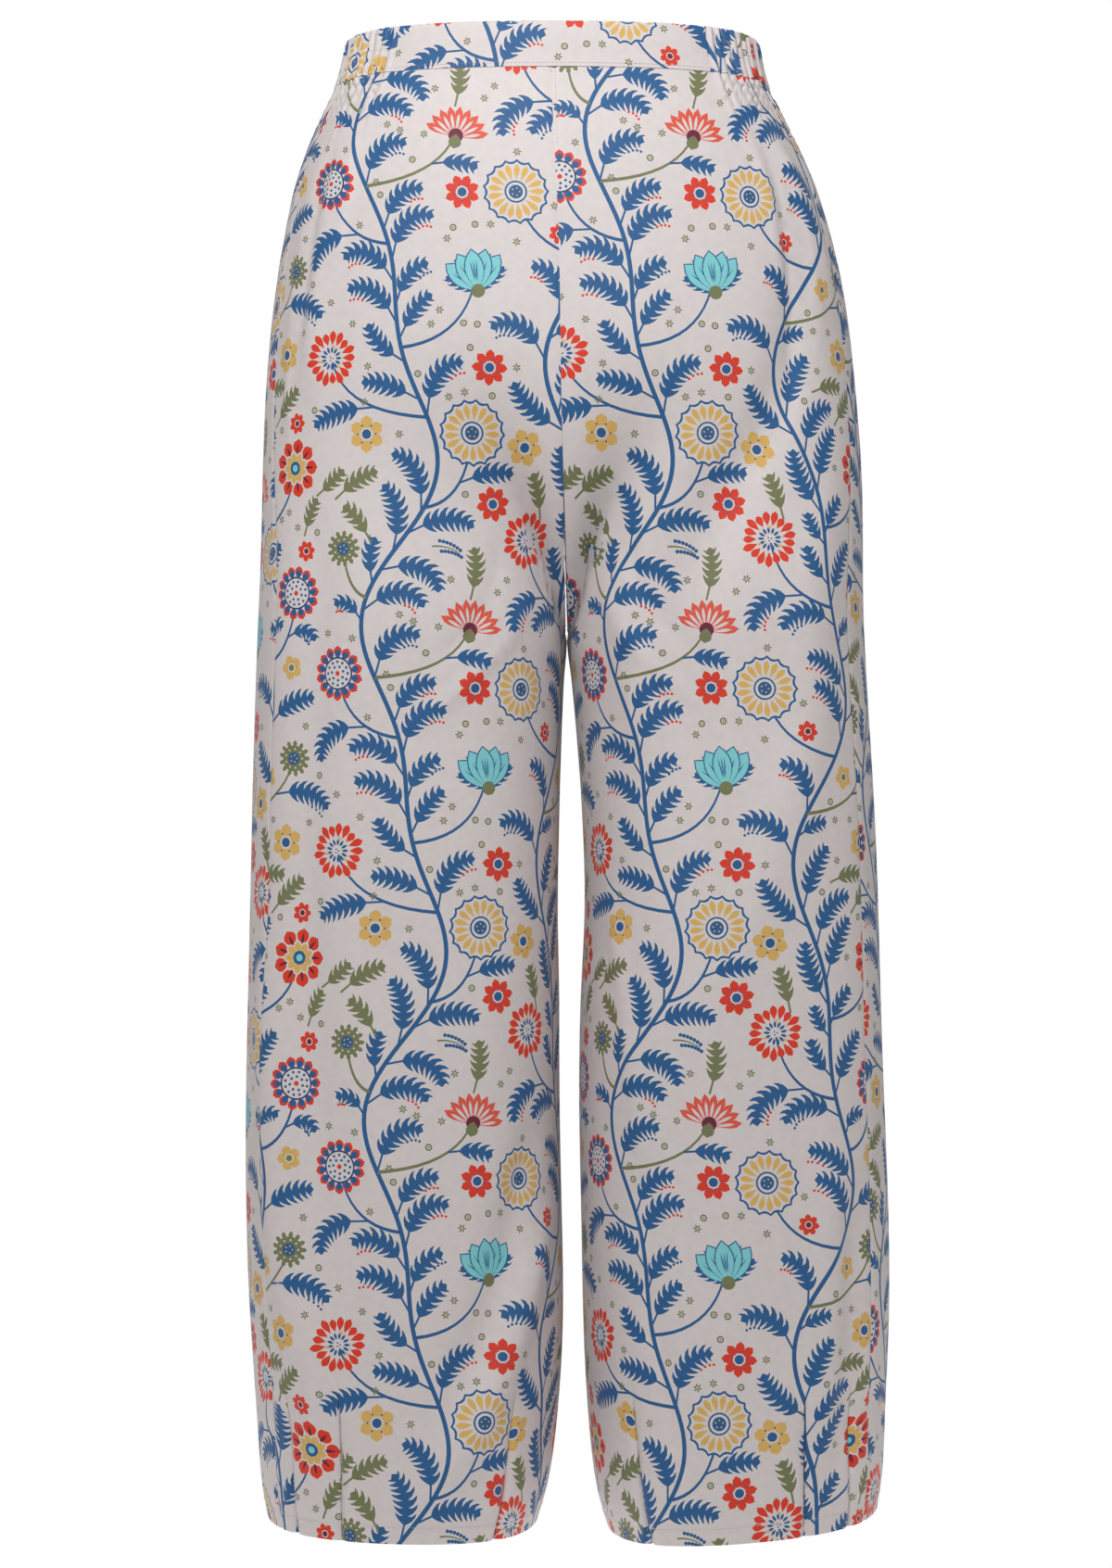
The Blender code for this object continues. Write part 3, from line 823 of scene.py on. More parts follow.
def coral_fan() -> Motif:
    """A coral pink seen from the side, its frilled rays over a green cup.

    Returns:
        The Motif.
    """
    made = Motif(17 * MM)
    for index in range(9):
        angle = 0.32 + index * (math.pi - 0.64) / 8
        made.add(Ink.CORAL, petal(20 * MM, 5.4 * MM, 2 * MM, 1.9), angle, (0, -7 * MM))
        made.add(Ink.GROUND, petal(12 * MM, 2.1 * MM, 5 * MM, 1.3, 3), angle, (0, -7 * MM))
    made.add(Ink.MAROON, disc(4.9 * MM, 14), 0.0, (0, -5 * MM))
    return made.add(Ink.OLIVE, petal(10 * MM, 8.5 * MM, 0, 0.8), math.pi / 2, (0, -14 * MM))


def olive_bud() -> Motif:
    """A round olive bud with a crown of little scales.

    Returns:
        The Motif.
    """
    made = Motif(13 * MM).whorl(Ink.OLIVE, petal(4.5 * MM, 3 * MM, 7.5 * MM), 13)
    made.add(Ink.OLIVE, disc(8.6 * MM, 20)).dots(Ink.GROUND, 0.7 * MM, 9, 6.2 * MM)
    made.add(Ink.BLUE, disc(4.2 * MM, 14)).dots(Ink.MUSTARD, 0.6 * MM, 5, 2.3 * MM)
    return made


def rosette() -> Motif:
    """A layered rosette, red-orange outside and mustard within.

    Returns:
        The Motif.
    """
    made = Motif(20 * MM)
    made.whorl(Ink.ORANGE, petal(12 * MM, 9.5 * MM, 7.5 * MM, 1.4), 9)
    made.whorl(Ink.MAROON, petal(8.5 * MM, 2.0 * MM, 8 * MM, 0.9, 3), 9)
    made.whorl(Ink.GROUND, petal(9 * MM, 6.6 * MM, 3 * MM, 1.2), 9, 0.35)
    made.whorl(Ink.MUSTARD, petal(7.5 * MM, 5.0 * MM, 3 * MM, 1.2), 9, 0.35)
    return made.add(Ink.BLUE, disc(4.6 * MM, 14)).add(Ink.TURQUOISE, disc(2.4 * MM, 9))


def leaf(ink: Ink, length: float, width: float, lobes: int, bend: float, stalk: float,
         dots: Ink | None) -> Motif:
    """A feathered leaf along +x on its stalk, with a trail of dots round its tip.

    Args:
        ink: its Ink.
        length: its length, stalk and all.
        width: its widest width.
        lobes: how many lobes each side has.
        bend: how far its rib turns, in radians.
        stalk: the stalk's share of the length.
        dots: the dots' Ink, or None for none.

    Returns:
        The Motif.
    """
    made = Motif(length / 2).add(ink, feather(length, width, lobes, bend, stalk))
    if dots:
        rib = Rib(length, bend)
        side = math.copysign(width * 0.5, bend)
        for share in (0.72, 0.84, 0.96, 1.06):
            reach = side * (1.32 - share * 0.42)
            made.add(dots, disc(0.95 * MM, 7), 0.0, rib.at(share, reach))
    return made


def berry_spray(stem: Ink, berry: Ink, length: float, bend: float, mirrored: bool) -> Motif:
    """A bent stem with berries on both sides.

    Args:
        stem: the stem's Ink.
        berry: the berries' Ink.
        length: the stem's length.
        bend: how far it turns, in radians.
        mirrored: True where it turns to the right.

    Returns:
        The Motif.
    """
    made = Motif(length * 0.62)
    path = arc(length, -bend if mirrored else bend, 8)
    path = path - path.mean(axis=0)
    made.add(stem, stroke(path, 1.2 * MM, 0.6 * MM))
    for index, point in enumerate(path[2:]):
        for sign in (1, -1):
            reach = (3.4 - 0.2 * index) * MM * sign
            made.add(berry, disc(1.3 * MM, 8), 0.0, (point[0] + 0.8 * MM, point[1] + reach))
    return made


def star() -> Motif:
    """A tiny star of short strokes."""
    return Motif(3.6 * MM).whorl(Ink.OLIVE, petal(2.9 * MM, 1.4 * MM, 0.2 * MM, 1, 1), 6)


def ringlet() -> Motif:
    """A tiny ring with a dot in it."""
    made = Motif(3.0 * MM).add(Ink.OLIVE, disc(2.4 * MM, 10))
    return made.add(Ink.GROUND, disc(1.35 * MM, 9)).add(Ink.OLIVE, disc(0.7 * MM, 6))


@dataclass(frozen=True)
class Bloom:
    """A flower that the layout starts from.

    Attributes:
        motif: the function that makes it.
        x: its place across the repeat, in metres.
        y: its place up the repeat.
        angle: its turn, in radians.
        vine: which vine its stem leaves.
        below: how far below the flower the stem leaves the vine.
    """

    motif: Callable[[], Motif]
    x: float
    y: float
    angle: float
    vine: int
    below: float


@dataclass(frozen=True)
class Vine:
    """A blue stem that winds up through the repeat."""

    x: float
    swing: float
    phase: float

    def across(self, y: float | Array) -> float | Array:
        """Where the vine is across the cloth at a height."""
        wave = 2 * math.pi * y / Repeat.HEIGHT
        return self.x + self.swing * (np.sin(wave + self.phase)
                                      + 0.45 * np.sin(2 * wave + 2.1 * self.phase))


class Repeat:
    """One repeat of the print: its vines, flowers, leaves and fillings."""

    WIDTH = 0.244
    HEIGHT = 0.320
    VINES = (Vine(0.058, 0.021, 0.4), Vine(0.181, 0.019, 3.3))
    BLOOMS = (
        Bloom(mustard_daisy, 0.107, 0.050, 0.3, 0, 0.048),
        Bloom(orange_aster, 0.012, 0.100, 0.0, 0, 0.040),
        Bloom(turquoise_tulip, 0.112, 0.150, 0.15, 0, 0.045),
        Bloom(blue_ring_flower, 0.014, 0.215, 0.0, 0, 0.042),
        Bloom(coral_fan, 0.104, 0.248, -0.2, 0, 0.036),
        Bloom(rosette, 0.226, 0.030, 0.0, 1, 0.040),
        Bloom(mustard_daisy, 0.140, 0.205, 0.0, 1, 0.044),
        Bloom(orange_aster, 0.146, 0.302, 0.2, 1, 0.044),
        Bloom(olive_bud, 0.222, 0.160, 0.0, 1, 0.036),
        Bloom(blue_ring_flower, 0.226, 0.268, 0.3, 1, 0.044),
        Bloom(olive_bud, 0.020, 0.296, 0.0, 0, 0.032),
    )

    def __init__(self, seed: int) -> None:
        """Lays out the repeat.

        Args:
            seed: of the layout's random choices.
        """
        self.random = random.Random(seed)
        self.taken: list[tuple[float, float, float]] = []
        self.stems: list[Array] = []
        self.lower: list[Inked] = []
        self.upper: list[Inked] = []
        self.grow_vines()
        self.set_blooms()
        self.set_leaves()
        self.fill()

    def shapes(self) -> list[Inked]:
        """All the repeat's shapes, the lower ones first."""
        return self.lower + self.upper

    def free(self, x: float, y: float, radius: float) -> bool:
        """Says whether a disc meets nothing, on a cloth that repeats.

        Args:
            x: its middle across the repeat.
            y: its middle up the repeat.
            radius: its radius.

        Returns:
            True if it is free.
        """
        for other_x, other_y, reach in self.taken:
            across = (x - other_x + self.WIDTH / 2) % self.WIDTH - self.WIDTH / 2
            up = (y - other_y + self.HEIGHT / 2) % self.HEIGHT - self.HEIGHT / 2
            if across * across + up * up < (radius + reach) ** 2:
                return False
        return True

    def take(self, x: float, y: float, radius: float) -> None:
        """Marks a disc as taken."""
        self.taken.append((x, y, radius))

    def grow_vines(self) -> None:
        """The winding stems, each a little thicker between its leaves."""
        heights = np.arange(0, 65) * self.HEIGHT / 64
        for vine in self.VINES:
            path = np.column_stack([vine.across(heights), heights])
            self.lower.append((Ink.BLUE, stroke(path, 2.9 * MM, 2.9 * MM)))
            for x, y in path[::2]:
                self.take(x, y, 2.0 * MM)

    def set_blooms(self) -> None:
        """The main flowers, each on a bent stem that leaves its vine."""
        for bloom in self.BLOOMS:
            vine = self.VINES[bloom.vine]
            root_y = bloom.y - bloom.below
            root = np.array([vine.across(root_y), root_y])
            tip = np.array([bloom.x, bloom.y])
            if tip[0] - root[0] > self.WIDTH / 2:
                tip[0] -= self.WIDTH
            if root[0] - tip[0] > self.WIDTH / 2:
                tip[0] += self.WIDTH
            share = np.linspace(0, 1, 12)[:, None]
            elbow = np.array([tip[0] * 0.85 + root[0] * 0.15, root[1] + 0.004])
            path = ((1 - share) ** 2 * root + 2 * share * (1 - share) * elbow
                    + share ** 2 * tip)
            ink = Ink.OLIVE if bloom.motif in (olive_bud, coral_fan) else Ink.BLUE
            self.lower.append((ink, stroke(path, 2.3 * MM, 1.2 * MM)))
            self.stems.append(path)
            made = bloom.motif()
            self.upper += made.placed(tip[0], tip[1], bloom.angle)
            self.take(bloom.x, bloom.y, made.radius)
            for x, y in path[2:-1:2]:
                self.take(x, y, 1.2 * MM)

    def try_leaf(self, ink: Ink, x: float, y: float, heading: float, length: float,
                 bend: float) -> bool:
        """Sets a leaf if its room is free.

        Args:
            ink: its Ink.
            x: its foot across the repeat.
            y: its foot up the repeat.
            heading: the way it starts, in radians.
            length: its length, stalk and all.
            bend: how far its tip is turned, in radians.

        Returns:
            True if it was set.
        """
        spine = turned(curl(length, bend, 8), heading) + np.array([x, y])
        width = length * 0.20 + 6.5 * MM
        discs = [(*spine[k], width * share)
                 for k, share in ((3, 0.36), (4, 0.44), (5, 0.46), (6, 0.44), (8, 0.30))]
        if not all(self.free(*spot) for spot in discs):
            return False
        lobes = max(4, round(length / (7.0 * MM)))
        dots = self.random.choice((None, None, Ink.ORANGE, Ink.BLUE, Ink.ORANGE))
        if ink is Ink.OLIVE or abs(bend) < 0.8:
            dots = None
        made = leaf(ink, length, width, lobes, bend, 0.26, dots)
        self.lower += made.placed(x, y, heading)
        for spot in discs:
            self.take(*spot)
        return True

    def set_leaves(self) -> None:
        """Feathered leaves up both sides of the vines and stems, in uneven sizes."""
        spots = []
        for vine in self.VINES:
            for index in range(26):
                y = (index + self.random.uniform(-0.25, 0.25)) * self.HEIGHT / 26
                slope = (vine.across(y + 0.002) - vine.across(y - 0.002)) / 0.004
                spots.append((float(vine.across(y)), y,
                              math.pi / 2 - math.atan(float(slope)), index % 2 * 2 - 1))
        for path in self.stems:
            for index in (4, 6, 8):
                step = path[index + 1] - path[index]
                spots.append((*path[index], math.atan2(step[1], step[0]),
                              index // 2 % 2 * 2 - 1))
        for length in (46 * MM, 41 * MM, 36 * MM, 30 * MM, 24 * MM):
            for spot in list(spots):
                x, y, forward, side = spot
                heading = forward - side * self.random.uniform(0.35, 0.75)
                bend = -side * self.random.choice((0.6, 1.1, 1.5, 1.8, -0.7))
                if self.try_leaf(Ink.BLUE, x, y, heading, length, bend):
                    spots.remove(spot)

    def scatter(self, maker: Callable[[], Motif], count: int, tries: int,
                margin: float = 0.0) -> None:
        """Sets up to count motifs at random where there is room for them.

        Args:
            maker: makes the motif.
            count: how many to set at most.
            tries: how many places to try.
            margin: the clear space that it keeps round it.
        """
        for _ in range(tries):
            x = self.random.uniform(0, self.WIDTH)
            y = self.random.uniform(0, self.HEIGHT)
            made = maker()
            if self.free(x, y, made.radius + margin):
                self.upper += made.placed(x, y, self.random.uniform(0, 6.28))
                self.take(x, y, made.radius)
                count -= 1
                if count == 0:
                    return

    def fill(self) -> None:
        """Sprigs, small flowers, berries and tiny marks in what room is left."""
        pick = self.random
        sprigs = 8
        for _ in range(900):
            length = pick.choice((34, 30, 26)) * MM
            sprigs -= self.try_leaf(Ink.OLIVE, pick.uniform(0, self.WIDTH),
                                    pick.uniform(0, self.HEIGHT), pick.uniform(0.2, 2.9),
                                    length, pick.uniform(-0.7, 0.7))
            if not sprigs:
                break
        self.scatter(lambda: little_flower(Ink.MUSTARD, Ink.BLUE, 6, 12 * MM), 3, 500)
        self.scatter(lambda: little_flower(Ink.ORANGE, Ink.BLUE, 8, 11.5 * MM), 3, 500)
        self.scatter(lambda: berry_spray(Ink.BLUE, Ink.ORANGE, 25 * MM, 1.1,
                                         pick.random() < 0.5), 3, 400)
        self.scatter(lambda: little_flower(Ink.MUSTARD, Ink.OLIVE, 5, 8 * MM), 2, 400)
        self.scatter(lambda: berry_spray(Ink.OLIVE, Ink.BLUE, 19 * MM, 0.8,
                                         pick.random() < 0.5), 4, 500)
        self.scatter(lambda: little_flower(Ink.ORANGE, Ink.MAROON, 7, 7 * MM), 3, 500)
        self.scatter(star, 34, 1500, 1.2 * MM)
        self.scatter(ringlet, 16, 1200, 1.4 * MM)


# ---------------------------------------------------------------- flat cloth
@dataclass
class Panel:
    """One leg panel: its place on the leg, and its cut on the flat cloth.

    Attributes:
        surface: the leg's surface.
        front: True for the front panel.
        print_shift: where the panel lies on the printed cloth, as (x, y).
    """

    LEG_MIDDLE: ClassVar[float] = 0.105
    TUCK_SLIT: ClassVar[float] = 0.0009
    surface: LegSurface
    front: bool
    print_shift: Pair

    def __post_init__(self) -> None:
        """Measures the panel's rows, so that places can be read either way."""
        seam = SIZES.side_seam_t
        self.first, self.last = (0.0, seam) if self.front else (seam, 1.0)
        self.levels = np.linspace(SIZES.band_height, SIZES.hem, 160)
        self.ts = np.linspace(self.first, self.last, 161)
        rows = len(self.levels)
        points = self.surface.plain(np.tile(self.ts, rows),
                                    np.repeat(self.levels, len(self.ts)))
        points = points.reshape(rows, len(self.ts), 3)
        steps = np.linalg.norm(np.diff(points, axis=1), axis=2)
        lengths = np.concatenate([np.zeros((rows, 1)), np.cumsum(steps, axis=1)], axis=1)
        across = self.surface.sign * (points[:, :, 0]
                                      - HANG_ROWS.at(self.levels)[0][:, None])
        self.surface_u = np.empty_like(lengths)
        for k in range(rows):
            rising = across[k] if self.front else across[k][::-1]
            length = lengths[k] if self.front else lengths[k][::-1]
            peak = int(np.argmax(rising)) + 1
            centre = np.interp(self.LEG_MIDDLE, rising[:peak], length[:peak])
            self.surface_u[k] = (lengths[k] - centre) * (1 if self.front else -1)
        self.tucks = [t for t in self.surface.tucks if self.first < t < self.last]
        self.tuck_u = []
        for t in self.tucks:
            places = [np.interp(t, self.ts, row) for row in self.surface_u]
            self.tuck_u.append(np.array(places))
        self.tuck_u.sort(key=lambda places: places[-1])

    @property
    def name(self) -> str:
        """The panel's node name."""
        return f"{'front' if self.front else 'back'}_{self.surface.side.name.lower()}"

    @property
    def handed(self) -> int:
        """1 where u runs to the right as the panel is looked at, and -1 where left."""
        return self.surface.sign * (1 if self.front else -1)

    def hidden(self, v: Array) -> Array:
        """The width of cloth that each tuck takes up at some depths."""
        top = SIZES.hem - SIZES.tuck_height
        return SIZES.tuck_cloth * smoothstep((v - top + SIZES.tuck_fade)
                                             / SIZES.tuck_fade)

    def tuck_starts(self, v: Array) -> list[tuple[Array, Array, Array]]:
        """Where each tuck's hidden cloth starts and ends in u, and its line on the leg.

        Args:
            v: depths.

        Returns:
            A list of (start, end, line) arrays, from the inner side outwards.
        """
        hidden = self.hidden(v)
        lines = [np.interp(v, self.levels, places) for places in self.tuck_u]
        inner = sum(places[-1] < 0 for places in self.tuck_u)
        found = []
        for index, line in enumerate(lines):
            if index < inner:
                end = line - (inner - 1 - index) * hidden
                found.append((end - hidden, end, line))
            else:
                start = line + (index - inner) * hidden
                found.append((start, start + hidden, line))
        return found

    def places(self, u: Array, v: Array) -> Array:
        """Places round the section of points of the leg's surface.

        Args:
            u: the points' places across the surface.
            v: their depths.

        Returns:
            The t of each.
        """
        rows = (v - self.levels[0]) / (self.levels[1] - self.levels[0])
        rows = np.clip(rows, 0, len(self.levels) - 1.000001)
        low = rows.astype(int)
        mix = rows - low
        sign = 1 if self.front else -1
        found = []
        for row in (low, low + 1):
            t = np.empty_like(u)
            order = np.argsort(row, kind="stable")
            cuts = np.flatnonzero(np.diff(row[order])) + 1
            for group in np.split(order, cuts):
                line = self.surface_u[row[group[0]]]
                t[group] = np.interp(sign * u[group], sign * line, self.ts)
            found.append(t)
        return found[0] * (1 - mix) + found[1] * mix

    def edges(self, v: Array) -> tuple[Array, Array]:
        """The cut's edges at some depths, tucks let out.

        Args:
            v: the depths.

        Returns:
            (the inner edge's u, the outer edge's u) at each.
        """
        start = np.interp(v, self.levels, self.surface_u[:, 0])
        end = np.interp(v, self.levels, self.surface_u[:, -1])
        inner, outer = (start, end) if self.front else (end, start)
        count = sum(places[-1] < 0 for places in self.tuck_u)
        hidden = self.hidden(v)
        return (inner - count * hidden, outer + (len(self.tuck_u) - count) * hidden)

    def laid(self, u: Array, v: Array) -> Array:
        """Points of the flat cloth as they lie on the leg.

        Args:
            u: places across the cut.
            v: their depths.

        Returns:
            Their points on the cloth's outer face.
        """
        on_leg = u.copy()
        sunk = np.zeros_like(u)
        shift = np.zeros_like(u)
        for start, end, line in self.tuck_starts(v):
            width = np.maximum(end - start, 1e-9)
            inside = (u > start) & (u < end) & (width > 1e-5)
            share = np.where(inside, (u - start) / width, 0.0)
            sunk = np.where(inside, np.minimum(u - start, end - u), sunk)
            on_leg = np.where(inside, line + (share - 0.5) * self.TUCK_SLIT, on_leg)
            if line[np.argmax(v)] < 0:
                shift = np.where(u <= start, shift + width, shift)
            else:
                shift = np.where(u >= end, shift - width, shift)
            shift = np.where(inside, 0.0, shift)
        in_tuck = sunk > 0
        on_leg = np.where(in_tuck, on_leg, u + shift)
        t = np.clip(self.places(on_leg, v), self.first, self.last)
        points, normal = self.surface.points(t, v, self.first, self.last)
        return points - normal * np.where(in_tuck, sunk, 0.0)[:, None]


def flat_area(panel: Panel) -> float:
    """The area of the panel's cut, in square metres."""
    inner, outer = panel.edges(panel.levels)
    return float(np.trapz(outer - inner, panel.levels))


def anticlockwise(outline: Array) -> Array:
    """An outline going round anticlockwise.

    Args:
        outline: the outline's points, going round either way.

    Returns:
        Its points.
    """
    following = np.roll(outline, -1, axis=0)
    area = np.sum(outline[:, 0] * following[:, 1] - following[:, 0] * outline[:, 1])
    return outline if area > 0 else outline[::-1]


class Cutter:
    """Cuts a printed piece of flat cloth into triangles, each of one ink."""

    def __init__(self, outline: Array) -> None:
        """Starts with the bare piece.

        Args:
            outline: the piece's corners in order, as (u, v) rows.
        """
        self.points = [tuple(p) for p in anticlockwise(outline)]
        self.faces = [list(range(len(outline)))]
        self.inks = [Ink.GROUND]
        self.edges = []
        self.loose = []
        self.lines = []
        self.low, self.high = np.min(outline, axis=0), np.max(outline, axis=0)

    def add_points(self, points: Sequence[Pair]) -> None:
        """Adds loose points, where the cloth bends."""
        self.loose.append(list(points))
        self.points.extend(tuple(p) for p in points)

    def add_line(self, points: Sequence[Pair]) -> None:
        """Adds a line that no triangle crosses.

        Args:
            points: its points, as (u, v) rows.
        """
        self.lines.append(list(points))
        start = len(self.points)
        self.points.extend(tuple(p) for p in points)
        self.edges += [(start + k, start + k + 1) for k in range(len(points) - 1)]

    def add_shape(self, ink: Ink, outline: Array) -> None:
        """Adds a printed shape, on top of those before it.

        Args:
            ink: its Ink.
            outline: its points.
        """
        low, high = outline.min(axis=0), outline.max(axis=0)
        if (low > self.high).any() or (high < self.low).any():
            return
        start = len(self.points)
        self.points.extend(tuple(p) for p in anticlockwise(outline))
        self.faces.append(list(range(start, start + len(outline))))
        self.inks.append(ink)

    def add_print(self, shapes: list[Inked], handed: int, shift: Pair, repeat: Pair) -> None:
        """Covers the piece with a repeating print.

        Args:
            shapes: (ink, outline) of one repeat, x to the right and y up.
            handed: 1 where u runs to the right, and -1 where it runs to the left.
            shift: where the cloth's u = v = 0 lies on the print, as (x, y).
            repeat: the repeat's (width, height).
        """
        left, right = sorted((handed * self.low[0], handed * self.high[0]))
        columns = range(math.floor((left + shift[0]) / repeat[0]) - 1,
                        math.ceil((right + shift[0]) / repeat[0]) + 1)
        rows = range(math.floor((shift[1] - self.high[1]) / repeat[1]) - 1,
                     math.ceil((shift[1] - self.low[1]) / repeat[1]) + 1)
        for ink, outline in shapes:
            for column in columns:
                for row in rows:
                    x = outline[:, 0] + column * repeat[0] - shift[0]
                    y = outline[:, 1] + row * repeat[1] - shift[1]
                    self.add_shape(ink, np.column_stack([handed * x, -y]))

    def unprinted(self, outline: Array) -> "Cutter":
        """A cutter of the same cloth without its print.

        Args:
            outline: the outline that it fills.

        Returns:
            The Cutter.
        """
        made = Cutter(outline)
        for points in self.loose:
            made.add_points(points)
        for points in self.lines:
            made.add_line(points)
        return made

    def cut(self) -> tuple[Array, Array, list[Ink]]:
        """Cuts the cloth.

        Returns:
            (flat points, triangles, the Ink of each triangle).
        """
        points, _, faces, _, _, origins = delaunay_2d_cdt(
            [Vector(p) for p in self.points], self.edges, self.faces, 0, 1e-6, True)
        flat = np.array([tuple(p) for p in points])
        kept, inks = [], []
        for face, origin in zip(faces, origins):
            if 0 in origin:
                kept.append(face)
                inks.append(self.inks[max(origin)])
        triangles = np.array(kept)
        used, triangles = np.unique(triangles, return_inverse=True)
        triangles = triangles.reshape(-1, 3)
        flat = flat[used]
        a, b, c = (flat[triangles[:, k]] for k in range(3))
        turn = ((b[:, 0] - a[:, 0]) * (c[:, 1] - a[:, 1])
                - (b[:, 1] - a[:, 1]) * (c[:, 0] - a[:, 0]))
        kept = np.abs(turn) > 1e-12
        triangles, turn = triangles[kept], turn[kept]
        triangles[turn < 0] = triangles[turn < 0][:, ::-1]
        return flat, triangles, [ink for ink, keep in zip(inks, kept) if keep]


# ---------------------------------------------------------------- shells
def rim_loop(triangles: Array) -> list[int]:
    """The points along the edge of a triangulated piece, in order.

    Args:
        triangles: the piece's triangles, as rows of point numbers.

    Returns:
        The point numbers of its longest edge loop.
    """
    edges = np.vstack([triangles[:, [0, 1]], triangles[:, [1, 2]], triangles[:, [2, 0]]])
    key = np.sort(edges, axis=1)
    _, index, count = np.unique(key, axis=0, return_index=True, return_counts=True)
    following = dict(edges[index[count == 1]].tolist())
    longest = []
    while following:
        start, point = following.popitem()
        loop = [start]
        while point in following:
            loop.append(point)
            point = following.pop(point)
        longest = max(longest, loop, key=len)
    return longest


class Layer:
    """One face of laid cloth: its flat cut, its points in space and its normals."""

    STEP = 0.0006

    def __init__(self, laid: Laying, flat: Array, triangles: Array) -> None:
        """Lays flat cloth in space.

        Args:
            laid: a function from (u, v) arrays to points.
            flat: the cloth's flat points.
            triangles: its triangles.
        """
        u, v = flat[:, 0], flat[:, 1]
        self.flat = flat
        self.points = laid(u, v)
        along = laid(u + self.STEP, v) - laid(u - self.STEP, v)
        fall = laid(u, v + self.STEP) - laid(u, v - self.STEP)
        self.normals = unit(np.cross(fall, along))
        away = self.points - self.points.mean(axis=0)
        if np.einsum("ij,ij->i", away, self.normals).sum() < 0:
            self.normals = -self.normals
        corner = self.points[triangles]
        made = np.cross(corner[:, 1] - corner[:, 0], corner[:, 2] - corner[:, 0])
        agree = np.einsum("ij,ij->i", made, self.normals[triangles].sum(axis=1))
        outward = np.median(np.sign(agree)) >= 0
        self.triangles = triangles if outward else triangles[:, ::-1]


class Shell:
    """A thin printed shell: an outer face, its plain reverse and the cut edges."""

    def __init__(self, name: str, laid: Laying, cutter: Cutter) -> None:
        """Cuts the cloth and lays it in space.

        Args:
            name: the piece's name.
            laid: a function from (u, v) arrays to points.
            cutter: the Cutter of the printed cloth.
        """
        self.name = name
        flat, triangles, self.inks = cutter.cut()
        self.outer = Layer(laid, flat, triangles)
        self.loop = rim_loop(self.outer.triangles)
        flat, triangles, _ = cutter.unprinted(flat[self.loop]).cut()
        self.inner = Layer(laid, flat, triangles)
        self.inner.points -= self.inner.normals * SIZES.cloth_thickness

    def rim(self) -> list[tuple[int, int, int, int]]:
        """Joins the outer and inner faces along the cloth's cut edges.

        Returns:
            The quads, as rows of point numbers.
        """
        tree = KDTree(len(self.inner.flat))
        for number, place in enumerate(self.inner.flat):
            tree.insert((*place, 0.0), number)
        tree.balance()
        shift = len(self.outer.points)
        under = [tree.find((*self.outer.flat[point], 0.0))[1] + shift for point in self.loop]
        quads = []
        for k, point in enumerate(self.loop):
            if under[k - 1] != under[k]:
                quads.append((point, self.loop[k - 1], under[k - 1], under[k]))
        return quads

    def build(self, face_material: bpy.types.Material,
              reverse_material: bpy.types.Material) -> bpy.types.Object:
        """The shell as a linked object.

        Args:
            face_material: the material of the outer face.
            reverse_material: the material of the reverse.

        Returns:
            The object.
        """
        outer, inner = self.outer, self.inner
        reverse = inner.triangles[:, ::-1] + len(outer.points)
        rim = self.rim()
        faces = outer.triangles.tolist() + reverse.tolist() + rim
        mesh = bpy.data.meshes.new(self.name)
        mesh.from_pydata(np.vstack([outer.points, inner.points]).tolist(), [], faces)
        mesh.update()
        mesh.materials.append(face_material)
        mesh.materials.append(reverse_material)
        single, double = len(outer.triangles), len(outer.triangles) + len(reverse)
        slots = np.zeros(len(faces), dtype=np.int32)
        slots[single:double] = 1
        mesh.polygons.foreach_set("material_index", slots)
        sizes = np.array([3] * double + [4] * len(rim))
        colours = np.array([ink.linear() for ink in self.inks]
                           + [Ink.GROUND.linear()] * (len(faces) - single))
        layer = mesh.color_attributes.new("print", "FLOAT_COLOR", "CORNER")
        layer.data.foreach_set("color", np.repeat(colours, sizes, axis=0).ravel())
        corner_points = np.empty(int(sizes.sum()), dtype=np.int32)
        mesh.loops.foreach_get("vertex_index", corner_points)
        cloth = mesh.uv_layers.new(name="cloth")
        cloth.data.foreach_set("uv", np.vstack([outer.flat, inner.flat])[corner_points].ravel())
        mesh.shade_smooth()
        normals = np.vstack([outer.normals, -inner.normals])
        mesh.normals_split_custom_set_from_vertices(normals.tolist())
        piece = bpy.data.objects.new(self.name, mesh)
        bpy.context.scene.collection.objects.link(piece)
        log.info("%s: %d triangles", self.name, double + 2 * len(rim))
        return piece


def spread(low: float, high: float, step: float) -> Array:
    """Even steps from low to high, about step apart."""
    return np.linspace(low, high, max(2, round((high - low) / step) + 1))


GRID_STEP = 0.0062
GATHER_STEP = 0.0013
BAND_STEP = 0.0012


def panel_points(panel: Panel) -> list[Pair]:
    """Where the panel's flat cloth bends: a grid, finer at gathers, seams and hem.

    Args:
        panel: the Panel.

    Returns:
        Its flat points as (u, v) rows.
    """
    found = []
    surface = panel.surface
    for v in spread(SIZES.band_height + 0.002, SIZES.hem - 0.0012, GRID_STEP):
        inner, outer = (float(x) for x in panel.edges(v))
        columns = spread(inner, outer, GRID_STEP)[1:-1].tolist()
        for near in (0.0008, 0.0017, 0.0032):
            columns += [inner + near, outer - near]
        if v < SIZES.gather_end + 0.004:
            start = max(surface.elastic_t, panel.first)
            line = np.array([np.interp(start, panel.ts, row)
                             for row in panel.surface_u])
            edge = float(np.interp(v, panel.levels, line))
            low, high = (edge, outer) if panel.front else (inner, outer)
            columns += spread(low, high, GATHER_STEP)[1:-1].tolist()
        for u in columns:
            found.append((u + 0.00002 * math.sin(4e4 * v), v))
    return found


